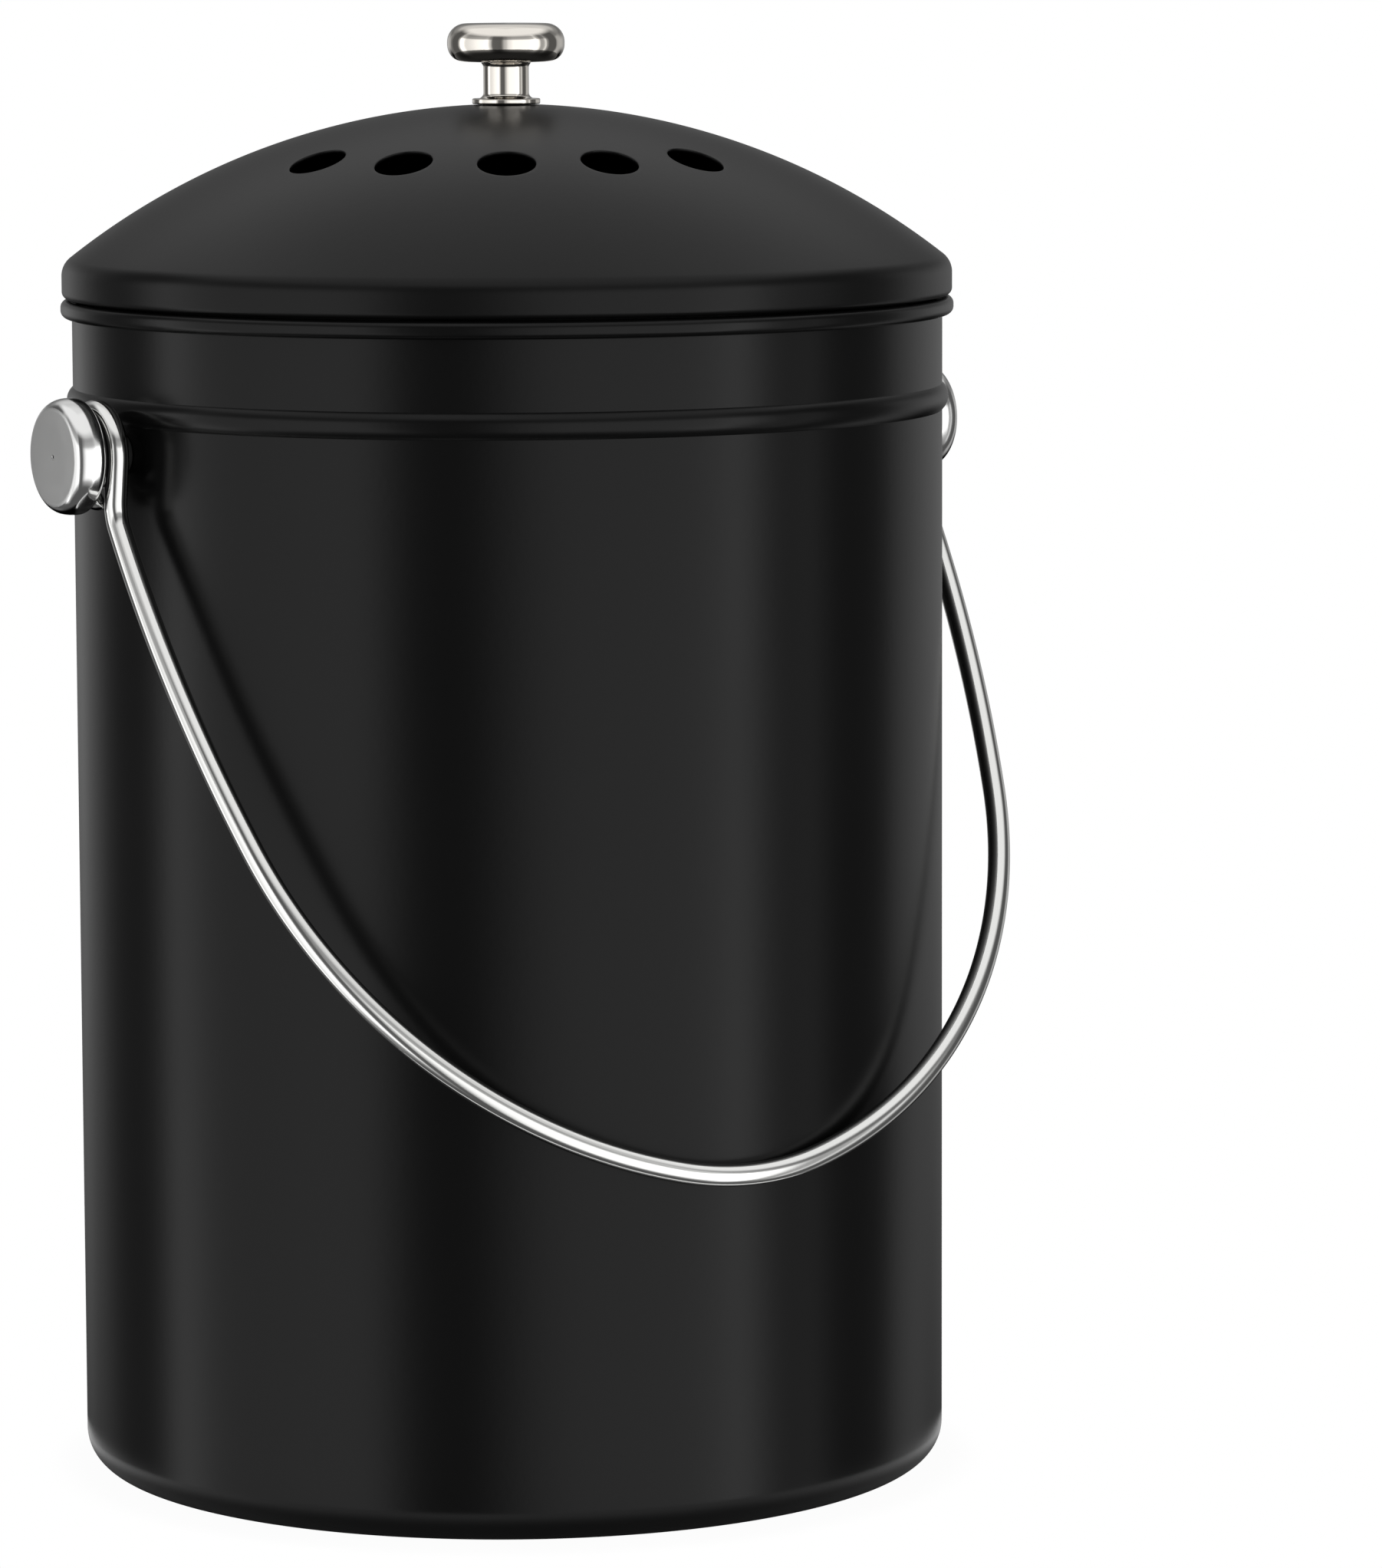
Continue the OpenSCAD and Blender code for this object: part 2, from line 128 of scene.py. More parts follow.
# Width and height of the quarter ellipses on the cap, and on the button further down
CAP_TOP = (3.8, 3.8)
CAP_UNDER = (3.2, 3.6)
STEM_R = 4.65
COVE_R = 1.2
KNOB_FOOT_R = 6.95
KNOB_FOOT_H = 1.1
PIVOT_Z = frame["joints"][0]["pos_m"][2] / MM
BUTTON_R = 11.6
BUTTON_H = 5.1
BUTTON_FRONT = (2.4, 3.7)
BUTTON_BACK = (1.3, 1.6)
SKIRT_LEN = 1.2
SKIRT_HOLE = 9.7
DIMPLE_R = 0.6
PIN_R = 6.33
SPIGOT_R = 3.0
BARREL_R = 3.9
SPACER_FLANGE = 1.0
SPACER_X, SPACER_END = node_box("spacer_right")[0][0], node_box("spacer_right")[1][0]
THRUST_X, BUTTON_X = (
    node_box("thrust_washer_right")[0][0],
    node_box("thrust_washer_right")[1][0],
)
SPACER_R = node_box("spacer_right")[1][1]
THRUST_R = node_box("thrust_washer_right")[1][1]
RING_GAP = 0.1

# Bail
WIRE_R = 2.3
EYE_X = node_box("bail_handle")[1][0] - WIRE_R
EYE_R = 8.7
NECK_ANGLE = math.radians(40.0)
EYE_OPEN = math.radians(62.0)
KNEE_R = 9.0
LEG_R = 354.0
LEG_TURN = math.radians(11.7)
GRIP_R = 59.0
GRIP_TURN = math.radians(74.5)
BAIL_SEAT = 0.3

# Camera: where it stands, which way it looks, its focal length, its sensor and its range
CAMERA_AT = np.array([-752.4, -1262.2, 318.9])
CAMERA_TURN = math.radians(30.8)
CAMERA_YAW = 0.0253
CAMERA_PITCH = 0.1211
CAMERA_ROLL = 0.0038
CAMERA_LENS = 164.53
CAMERA_SENSOR = 36.0
CAMERA_NEAR, CAMERA_FAR = 50.0, 20000.0

# Table top: its radius and height, where its shadow starts to fade and where it is plain white
FLOOR_R = 104.0
FLOOR_Z = -0.3
SHADOW_R = 89.0
WHITE_R = FLOOR_R - 5.0
NEAR_WHITE = 0.97


# ---------------------------------------------------------------- meshes


def arc(centre, radius, start, end, steps):
    """Points at centre + radius * (cos a, sin a), for a evenly spaced from start to end degrees."""
    a = np.radians(np.linspace(start, end, steps + 1))
    return np.stack(
        [centre[0] + radius * np.cos(a), centre[1] + radius * np.sin(a)], -1
    )


def sheet_loop(centreline, thickness):
    """A closed section round an open centreline.

    Each point moves half the thickness along the centreline's normal, out on one side and back
    on the other.
    """
    line = np.asarray(centreline, float)
    along = np.gradient(line, axis=0)
    along /= np.linalg.norm(along, axis=1)[:, None]
    normal = np.stack([-along[:, 1], along[:, 0]], -1) * thickness / 2
    return np.concatenate([line + normal, (line - normal)[::-1]])


def resample(line, step):
    """The same open line with points about every step millimetres, corners kept."""
    line = np.asarray(line, float)
    keep = np.r_[True, np.linalg.norm(np.diff(line, axis=0), axis=1) > 1e-9]
    line = line[keep]
    run = np.r_[0, np.cumsum(np.linalg.norm(np.diff(line, axis=0), axis=1))]
    extra = np.arange(0, run[-1], step)
    at = np.unique(np.round(np.r_[run, extra], 6))
    at = at[np.r_[True, np.diff(at) > APART]]
    return np.stack([np.interp(at, run, line[:, i]) for i in range(2)], -1)


def quads(rows, columns, wrap_rows, wrap_columns, offset=0):
    """Corner numbers of the quads of a grid, row by row, joined end to end where it wraps."""
    r = np.arange(rows if wrap_rows else rows - 1)
    c = np.arange(columns if wrap_columns else columns - 1)
    r, c = np.meshgrid(r, c, indexing="ij")
    r1, c1 = (r + 1) % rows, (c + 1) % columns
    corners = [r * columns + c, r * columns + c1, r1 * columns + c1, r1 * columns + c]
    return np.stack([k.ravel() for k in corners], -1) + offset


def piece(name, grids, body, finish, replaced, sharp=50.0, uv=None, merge=0.002):
    """Makes one object from point grids of (points, wrap_rows, wrap_columns), in millimetres.

    Points nearer than merge are joined, which closes poles and seams, and the normals are set to
    point outwards. Edges that turn by more than sharp degrees stay crisp.
    """
    points, faces, offset = [], [], 0
    for grid, wrap_rows, wrap_columns in grids:
        rows, columns = grid.shape[:2]
        faces.append(quads(rows, columns, wrap_rows, wrap_columns, offset))
        points.append(grid.reshape(-1, 3))
        offset += rows * columns
    points, faces = np.concatenate(points) * MM, np.concatenate(faces)
    mesh = bpy.data.meshes.new(name)
    mesh.vertices.add(len(points))
    mesh.vertices.foreach_set("co", points.astype(np.float32).ravel())
    mesh.loops.add(faces.size)
    mesh.loops.foreach_set("vertex_index", faces.astype(np.int32).ravel())
    mesh.polygons.add(len(faces))
    mesh.polygons.foreach_set("loop_start", np.arange(0, faces.size, 4, dtype=np.int32))
    mesh.update(calc_edges=True)
    if uv is not None:
        layer = mesh.uv_layers.new(name="wire")
        layer.data.foreach_set("uv", uv.astype(np.float32).ravel())
    bm = bmesh.new()
    bm.from_mesh(mesh)
    bmesh.ops.remove_doubles(bm, verts=bm.verts, dist=merge * MM)
    bmesh.ops.dissolve_degenerate(bm, edges=bm.edges, dist=1e-8)
    bmesh.ops.recalc_face_normals(bm, faces=bm.faces)
    bm.to_mesh(mesh)
    bm.free()
    mesh.shade_smooth()
    mesh.set_sharp_from_angle(angle=math.radians(sharp))
    made = bpy.data.objects.new(name, mesh)
    bpy.context.scene.collection.objects.link(made)
    mesh.materials.append(finish)
    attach(made, body)
    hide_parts(*replaced)
    return made


def revolve_z(section, steps, start=0.0):
    """(radius, height) points turned about Z: x = r cos a, y = r sin a, z = height."""
    a = start + np.arange(steps) * 2 * np.pi / steps
    r, z = section[:, 0, None], section[:, 1, None]
    return np.stack([r * np.cos(a), r * np.sin(a), z + 0 * a], -1)


def revolve_pivot(section, side, steps=128):
    """(radius, distance) points turned about the pivot.

    x = side * distance, y = r cos a and z = PIVOT_Z + r sin a.
    """
    a = np.arange(steps) * 2 * np.pi / steps
    r, x = section[:, 0, None], section[:, 1, None]
    return np.stack([side * x + 0 * a, r * np.cos(a), PIVOT_Z + r * np.sin(a)], -1)


# ---------------------------------------------------------------- materials


def linear(colour):
    """An sRGB hex colour as linear RGBA, by the standard transfer curve."""
    parts = [int(colour[i : i + 2], 16) / 255 for i in (1, 3, 5)]
    return [p / 12.92 if p <= 0.04045 else ((p + 0.055) / 1.055) ** 2.4 for p in parts] + [1.0]


def put(tree, kind, inputs=None, **settings):
    """Adds a node, sets its properties, and sets or links its inputs by name or number."""
    made = tree.nodes.new(kind)
    for key, value in settings.items():
        setattr(made, key, value)
    for key, value in (inputs or {}).items():
        if isinstance(value, bpy.types.NodeSocket):
            tree.links.new(value, made.inputs[key])
        else:
            made.inputs[key].default_value = value
    return made


def start_material(name):
    """An empty material, and the tree to build it in."""
    material = bpy.data.materials.new(name)
    material.use_nodes = True
    material.node_tree.nodes.clear()
    return material, material.node_tree


def per_mm(size):
    """A texture scale, in waves per metre, for a pattern whose features are that many mm."""
    return 1.0 / (size * MM)


def powder_coat(name, colour, rough):
    """Powder coat on steel: baked resin powder, cured to a satin skin.

    It gives a nearly black body with soft, wide reflections, a faint orange peel about 1.6 mm
    across and a grit of 0.35 mm, and the gloss varies a little over some 38 mm.
    """
    material, tree = start_material(name)
    where = put(tree, "ShaderNodeTexCoord").outputs["Object"]
    peel, grit, drift = (
        put(
            tree,
            "ShaderNodeTexNoise",
            {"Vector": where, "Scale": per_mm(size), "Detail": detail},
        ).outputs["Fac"]
        for size, detail in ((1.6, 2.0), (0.35, 1.0), (38.0, 3.0))
    )
    gloss = put(
        tree,
        "ShaderNodeMapRange",
        {"Value": drift, "To Min": rough - 0.02, "To Max": rough + 0.02},
    ).outputs["Result"]
    shade = put(
        tree,
        "ShaderNodeMapRange",
        {"Value": grit, "From Min": 0.3, "From Max": 0.7, "To Min": 0.94, "To Max": 1.06},
    ).outputs["Result"]
    tone = put(
        tree, "ShaderNodeVectorMath", {0: linear(colour)[:3], 1: shade}, operation="MULTIPLY"
    ).outputs["Vector"]
    skin = put(
        tree, "ShaderNodeBump", {"Height": grit, "Strength": 0.02, "Distance": 0.0001}
    ).outputs["Normal"]
    peeled = put(
        tree,
        "ShaderNodeBump",
        {"Height": peel, "Strength": 0.05, "Distance": 0.0002, "Normal": skin},
    ).outputs["Normal"]
    shader = put(
        tree,
        "ShaderNodeBsdfPrincipled",
        {
            "Base Color": tone,
            "Roughness": gloss,
            "IOR": 1.5,
            "Specular IOR Level": 0.19,
            "Normal": peeled,
        },
    )
    put(tree, "ShaderNodeOutputMaterial", {"Surface": shader.outputs["BSDF"]})
    return material


def turned_metal(name, colour, rough, centre, axis, faced_from=None):
    """Nickel-plated steel, turned on a lathe about an axis through centre, and polished.

    It gives a bright, slightly warm mirror, with very fine rings left by the tool round the
    lathe's axis. The rings are drawn 0.35 mm apart, coarser than they are, so that they show.
    Where faced_from is given, the ends that far from the centre are faced to a satin, and the
    dimple at the axis gets a painted shade, its colour darkened.
    """
    material, tree = start_material(name)
    where = put(tree, "ShaderNodeTexCoord").outputs["Object"]
    centred = put(
        tree,
        "ShaderNodeVectorMath",
        {0: where, 1: [c * MM for c in centre]},
        operation="SUBTRACT",
    ).outputs["Vector"]
    lengthwise = [1.0 if i == axis else 0.0 for i in range(3)]
    crosswise = [1.0 - part for part in lengthwise]
    across = put(
        tree, "ShaderNodeVectorMath", {0: centred, 1: crosswise}, operation="MULTIPLY"
    ).outputs["Vector"]
    radius = put(tree, "ShaderNodeVectorMath", {0: across}, operation="LENGTH").outputs["Value"]
    along = put(
        tree, "ShaderNodeVectorMath", {0: centred, 1: lengthwise}, operation="DOT_PRODUCT"
    ).outputs["Value"]
    ring_at = put(tree, "ShaderNodeCombineXYZ", {"X": radius, "Y": along}).outputs["Vector"]
    rings = put(
        tree,
        "ShaderNodeTexNoise",
        {"Vector": ring_at, "Scale": per_mm(0.35), "Detail": 3.0, "Roughness": 0.7},
    ).outputs["Fac"]
    smudge = put(
        tree, "ShaderNodeTexNoise", {"Vector": where, "Scale": per_mm(6.0), "Detail": 3.0}
    ).outputs["Fac"]
    both = put(
        tree, "ShaderNodeMath", {0: rings, 1: smudge}, operation="MULTIPLY"
    ).outputs["Value"]
    gloss = put(
        tree,
        "ShaderNodeMapRange",
        {
            "Value": both,
            "From Min": 0.1,
            "From Max": 0.45,
            "To Min": rough * 0.85,
            "To Max": rough * 1.15,
        },
    ).outputs["Result"]
    tone = linear(colour)
    if faced_from is not None:
        # The corner's width, the roughness that facing adds, and the tone of the painted shade in
        # the dimple
        corner, satin, shadow = 0.1, 0.24, 0.03
        end = put(tree, "ShaderNodeMath", {0: along}, operation="ABSOLUTE").outputs["Value"]
        faced = put(
            tree,
            "ShaderNodeMapRange",
            {
                "Value": end,
                "From Min": (faced_from - corner) * MM,
                "From Max": faced_from * MM,
                "To Max": satin,
            },
        ).outputs["Result"]
        gloss = put(
            tree, "ShaderNodeMath", {0: gloss, 1: faced}, operation="ADD"
        ).outputs["Value"]
        # Painted shade: the colour is darkened to that tone inside the dimple at the axis
        dimple_painted_shade = put(
            tree,
            "ShaderNodeMapRange",
            {
                "Value": radius,
                "From Min": DIMPLE_R * 0.7 * MM,
                "From Max": DIMPLE_R * MM,
                "To Min": shadow,
            },
        ).outputs["Result"]
        tone = put(
            tree, "ShaderNodeVectorMath", {0: tone[:3], 1: dimple_painted_shade}, operation="MULTIPLY"
        ).outputs["Vector"]
    cut = put(
        tree, "ShaderNodeBump", {"Height": rings, "Strength": 0.012, "Distance": 0.00005}
    ).outputs["Normal"]
    shader = put(
        tree,
        "ShaderNodeBsdfPrincipled",
        {"Base Color": tone, "Metallic": 1.0, "Roughness": gloss, "Normal": cut},
    )
    put(tree, "ShaderNodeOutputMaterial", {"Surface": shader.outputs["BSDF"]})
    return material


def drawn_wire(name, colour, rough):
    """Bright stainless wire, drawn through a die.

    It gives a silvery surface with straight scratches along the wire, about 20 mm long and
    0.35 mm wide, coarser than they are, so its highlights break up into streaks. The gloss varies
    in patches some 4 mm long. The UV map runs along the wire in millimetres and round it in turns.
    """
    material, tree = start_material(name)
    strip = put(tree, "ShaderNodeUVMap", uv_map="wire").outputs["UV"]
    stretched = put(
        tree, "ShaderNodeMapping", {"Vector": strip, "Scale": (0.03, 26.0, 1.0)}
    ).outputs["Vector"]
    streaks = put(
        tree,
        "ShaderNodeTexNoise",
        {"Vector": stretched, "Scale": 1.6, "Detail": 4.0, "Roughness": 0.65},
    ).outputs["Fac"]
    patches = put(
        tree, "ShaderNodeMapping", {"Vector": strip, "Scale": (0.25, 3.0, 1.0)}
    ).outputs["Vector"]
    wear = put(
        tree,
        "ShaderNodeTexNoise",
        {"Vector": patches, "Scale": 1.0, "Detail": 5.0, "Roughness": 0.7},
    ).outputs["Fac"]
    gloss = put(
        tree,
        "ShaderNodeMapRange",
        {
            "Value": wear,
            "From Min": 0.3,
            "From Max": 0.7,
            "To Min": rough - 0.04,
            "To Max": rough + 0.05,
        },
    ).outputs["Result"]
    scratch = put(
        tree, "ShaderNodeBump", {"Height": streaks, "Strength": 0.05, "Distance": 0.00005}
    ).outputs["Normal"]
    shader = put(
        tree,
        "ShaderNodeBsdfPrincipled",
        {
            "Base Color": linear(colour),
            "Metallic": 1.0,
            "Roughness": gloss,
            "Normal": scratch,
        },
    )
    put(tree, "ShaderNodeOutputMaterial", {"Surface": shader.outputs["BSDF"]})
    return material


def moulded_nylon(name, colour):
    """Black nylon, injection moulded against a fine spark-eroded tool.

    It gives a dull black with a fine even grain of about 0.25 mm.
    """
    material, tree = start_material(name)
    where = put(tree, "ShaderNodeTexCoord").outputs["Object"]
    grain = put(
        tree, "ShaderNodeTexNoise", {"Vector": where, "Scale": per_mm(0.25), "Detail": 2.0}
    ).outputs["Fac"]
    gloss = put(
        tree, "ShaderNodeMapRange", {"Value": grain, "To Min": 0.42, "To Max": 0.58}
    ).outputs["Result"]
    skin = put(
        tree, "ShaderNodeBump", {"Height": grain, "Strength": 0.12, "Distance": 0.00006}
    ).outputs["Normal"]
    shader = put(
        tree,
        "ShaderNodeBsdfPrincipled",
        {
            "Base Color": linear(colour),
            "Roughness": gloss,
            "IOR": 1.53,
            "Specular IOR Level": 0.4,
            "Normal": skin,
        },
    )
    put(tree, "ShaderNodeOutputMaterial", {"Surface": shader.outputs["BSDF"]})
    return material


def zinc_plate(name, colour):
    """Steel fasteners, zinc plated and clear passivated.

    It gives a cool grey metal with a cloudy gloss, in spangles of about 1.5 mm.
    """
    material, tree = start_material(name)
    where = put(tree, "ShaderNodeTexCoord").outputs["Object"]
    cloud = put(
        tree, "ShaderNodeTexNoise", {"Vector": where, "Scale": per_mm(1.5), "Detail": 4.0}
    ).outputs["Fac"]
    gloss = put(
        tree,
        "ShaderNodeMapRange",
        {"Value": cloud, "From Min": 0.3, "From Max": 0.7, "To Min": 0.26, "To Max": 0.44},
    ).outputs["Result"]
    skin = put(
        tree, "ShaderNodeBump", {"Height": cloud, "Strength": 0.06, "Distance": 0.00008}
    ).outputs["Normal"]
    shader = put(
        tree,
        "ShaderNodeBsdfPrincipled",
        {
            "Base Color": linear(colour),
            "Metallic": 1.0,
            "Roughness": gloss,
            "Normal": skin,
        },
    )
    put(tree, "ShaderNodeOutputMaterial", {"Surface": shader.outputs["BSDF"]})
    return material


def carbon_felt(name, colour, fleck_colour):
    """Needled felt loaded with carbon.

    It gives a dead matt black of matted fibres about 0.2 mm thick, drawn as long as 3 mm and bent
    by a noise of 7 mm, with a few paler fibres and grains that catch the light.
    """
    material, tree = start_material(name)
    where = put(tree, "ShaderNodeTexCoord").outputs["Object"]
    bend = put(
        tree, "ShaderNodeTexNoise", {"Vector": where, "Scale": per_mm(7.0), "Detail": 2.0}
    ).outputs["Color"]
    curled = put(
        tree,
        "ShaderNodeVectorMath",
        {0: bend, 1: (6.0 * MM, 6.0 * MM, 6.0 * MM), 2: where},
        operation="MULTIPLY_ADD",
    ).outputs["Vector"]
    lay_a, lay_b = (
        put(
            tree,
            "ShaderNodeMapping",
            {"Vector": curled, "Rotation": (0, 0, turn), "Scale": stretch},
        ).outputs["Vector"]
        for turn, stretch in ((0, (1.0, 0.16, 1.0)), (1.1, (0.16, 1.0, 1.0)))
    )
    fibres_a, fibres_b = (
        put(
            tree, "ShaderNodeTexNoise", {"Vector": lay, "Scale": per_mm(0.45), "Detail": 3.0}
        ).outputs["Fac"]
        for lay in (lay_a, lay_b)
    )
    matted = put(
        tree, "ShaderNodeMath", {0: fibres_a, 1: fibres_b}, operation="MAXIMUM"
    ).outputs["Value"]
    flecks = put(
        tree, "ShaderNodeMapRange", {"Value": matted, "From Min": 0.62, "From Max": 0.8}
    ).outputs["Result"]
    tone = put(
        tree,
        "ShaderNodeMix",
        {"Factor": flecks, "A": linear(colour), "B": linear(fleck_colour)},
        data_type="RGBA",
    ).outputs["Result"]
    nap = put(
        tree, "ShaderNodeBump", {"Height": matted, "Strength": 0.7, "Distance": 0.0004}
    ).outputs["Normal"]
    shader = put(
        tree,
        "ShaderNodeBsdfPrincipled",
        {
            "Base Color": tone,
            "Roughness": 0.95,
            "Specular IOR Level": 0.1,
            "Sheen Weight": 0.15,
            "Sheen Roughness": 0.6,
            "Normal": nap,
        },
    )
    put(tree, "ShaderNodeOutputMaterial", {"Surface": shader.outputs["BSDF"]})
    return material


# Just short of the buttons' flat ends
STUD_FACE = BUTTON_X + BUTTON_H - 0.1

BIN_COAT = powder_coat("powder_coat_bin", "#0a0a0a", 0.25)
LID_COAT = powder_coat("powder_coat_lid", "#0a0a0a", 0.31)
COLLAR_COAT = powder_coat("powder_coat_collar", "#0a0a0a", 0.18)
KNOB_NICKEL = turned_metal("nickel_knob", "#eae5dd", 0.06, (0, 0, 0), axis=2)
STUD_NICKEL = turned_metal(
    "nickel_stud", "#e6e6e5", 0.13, (0, 0, PIVOT_Z), axis=0, faced_from=STUD_FACE
)
WIRE_STEEL = drawn_wire("stainless_wire", "#e4e4e2", 0.1)
NYLON = moulded_nylon("nylon_black", "#1e1e1e")
ZINC = zinc_plate("zinc_plated_steel", "#a9adb1")
FELT = carbon_felt("carbon_felt", "#131313", "#3a3a3a")


# ---------------------------------------------------------------- bin


def bulge(rise, out):
    """Radius and angle in degrees of an arc that moves outwards by out over a height of rise."""
    angle = 2 * math.atan2(out, rise)
    return rise / math.sin(angle), math.degrees(angle)


def make_bin():
    """The bin's sheet: a centreline from the axis out, up the wall and round the rim.

    The base's ring, the foot, the ridge and the rolled rim are arcs joined by straights. The line
    is given a wall, its start is kept on the axis, and it is turned about Z.
    """
    half = BIN_WALL / 2
    wall = BIN_R - half
    swage_arc = (SWAGE_W**2 / 4 + SWAGE_H**2) / (2 * SWAGE_H) + half
    low = half + SWAGE_H - swage_arc
    dip = math.degrees(math.asin(SWAGE_W / 2 / swage_arc))
    groove = arc((SWAGE_R, low), swage_arc, 90 + dip, 90 - dip, 24)
    groove[:, 1] += half - groove[0, 1]
    foot = arc((BIN_R - FOOT_R, FOOT_R), FOOT_R - half, -90, 0, 24)
    upper = bulge(RIB_TOP - RIB_Z, RIB_OUT)
    lower = bulge(RIB_Z - RIB_FOOT, RIB_OUT)
    crest = wall + RIB_OUT
    ridge = np.concatenate(
        [
            arc((crest - lower[0], RIB_Z), lower[0], -lower[1], 0, 16),
            arc((crest - upper[0], RIB_Z), upper[0], 0, upper[1], 16)[1:],
        ]
    )
    curl_r = (BEAD_OUT + BIN_WALL) / 2
    curl_x = BIN_R + BEAD_OUT - curl_r
    over = arc((curl_x, BIN_H - curl_r), curl_r - half, 180, 0, 24)
    under = arc((curl_x, BIN_H - BEAD_H + curl_r), curl_r - half, 0, -90, 14)
    end = [BIN_R + BEAD_GAP, under[-1, 1]]
    line = np.concatenate([[[0, half]], groove, foot, ridge, over, under, [end]])
    section = sheet_loop(resample(line, 4.0), BIN_WALL)
    section[:, 0] = np.maximum(section[:, 0], 0)
    return piece(
        "bin_shell",
        [(revolve_z(section, 240), False, True)],
        "bin",
        BIN_COAT,
        ["bin_body"],
        sharp=60,
    )


# ---------------------------------------------------------------- lid


HEM_Z = BIN_H + LID_SEAT + HEM_R
SHOULDER_Z = HEM_Z + SKIRT_H
SHOULDER_AT = LID_R - SHOULDER_R
# The dome's centre, so that the dome runs smoothly into the shoulder
DOME_Z = SHOULDER_Z - math.sqrt((DOME_R - SHOULDER_R) ** 2 - SHOULDER_AT**2)
DOME_IN = DOME_R - LID_WALL
# The band that holds the vents is cut into cells as wide as the vents' spacing
BAND_TILT = [math.asin(r / DOME_R) for r in BAND_R]
CELLS = 16
CELL_TURN = 2 * math.pi / CELLS
CELL_COLUMNS = 20
CELL_ROWS = 18
FIRST_CELL = LID_TURN - math.pi / 2 - CELL_TURN / 2


def direction(tilt, turn):
    """The unit direction (sin t cos a, sin t sin a, cos t), for a tilt t from +Z and a turn a."""
    return np.stack(
        [np.sin(tilt) * np.cos(turn), np.sin(tilt) * np.sin(turn), np.cos(tilt)], -1
    )


def on_dome(way, radius):
    """Points at that distance from the dome's centre."""
    return way * radius + np.array([0, 0, DOME_Z])


def dome_patch(tilts, turns, radius):
    """A grid of points on the dome, with a row for each tilt and a column for each turn."""
    tilt, turn = np.meshgrid(tilts, turns, indexing="ij")
    return on_dome(direction(tilt, turn), radius)


def cell_edge(cell):
    """Tilt and turn of the points round one cell of the vent band, in order, corners once."""
    t0, t1 = BAND_TILT
    a0 = FIRST_CELL + cell * CELL_TURN
    a1 = a0 + CELL_TURN
    across = np.linspace(a0, a1, CELL_COLUMNS + 1)
    down = np.linspace(t0, t1, CELL_ROWS + 1)
    tilt = np.concatenate(
        [np.full(CELL_COLUMNS, t0), down[:-1], np.full(CELL_COLUMNS, t1), down[:0:-1]]
    )
    turn = np.concatenate(
        [across[:-1], np.full(CELL_ROWS, a1), across[:0:-1], np.full(CELL_ROWS, a0)]
    )
    return tilt, turn


def vent_cell(cell):
    """A cell of the band with a round vent.

    Rows run from the cell's edge to the vent. The edge's bearing from the vent's axis gives each
    column's place on the vent, and the rows between are mixed from both and pushed back onto the
    sphere. The outer and the inner skin meet over a rounded lip.
    """
    edge = direction(*cell_edge(cell))
    axis_turn = FIRST_CELL + (cell + 0.5) * CELL_TURN
    axis = direction(math.asin(VENT_CIRCLE / DOME_R), axis_turn)
    east = np.array([-math.sin(axis_turn), math.cos(axis_turn), 0])
    north = np.cross(axis, east)
    bearing = np.arctan2(edge @ north, edge @ east)

    def circle(radius):
        """Directions on a circle of that radius round the vent's axis."""
        gamma = math.asin(radius / DOME_R)
        out = np.cos(bearing)[:, None] * east + np.sin(bearing)[:, None] * north
        return math.cos(gamma) * axis + math.sin(gamma) * out

    def fold(angle, skin, way):
        """The lip's row at an angle from the skin, on its arc from the skin to the vent's wall."""
        radius = VENT_R + VENT_LIP * (1 - math.sin(angle))
        return on_dome(circle(radius), skin + way * VENT_LIP * (1 - math.cos(angle)))

    # The power sets the rows closer together towards the vent
    mix = np.linspace(0, 1, 9)[:, None, None] ** 0.8
    spread = (1 - mix) * edge + mix * circle(VENT_R + VENT_LIP)
    spread /= np.linalg.norm(spread, axis=-1)[..., None]
    bend = np.radians(np.linspace(0, 90, 5))
    return np.concatenate(
        [
            on_dome(spread, DOME_R),
            [fold(angle, DOME_R, -1) for angle in bend[1:]],
            [fold(angle, DOME_IN, 1) for angle in bend[:0:-1]],
            on_dome(spread[::-1], DOME_IN),
        ]
    )


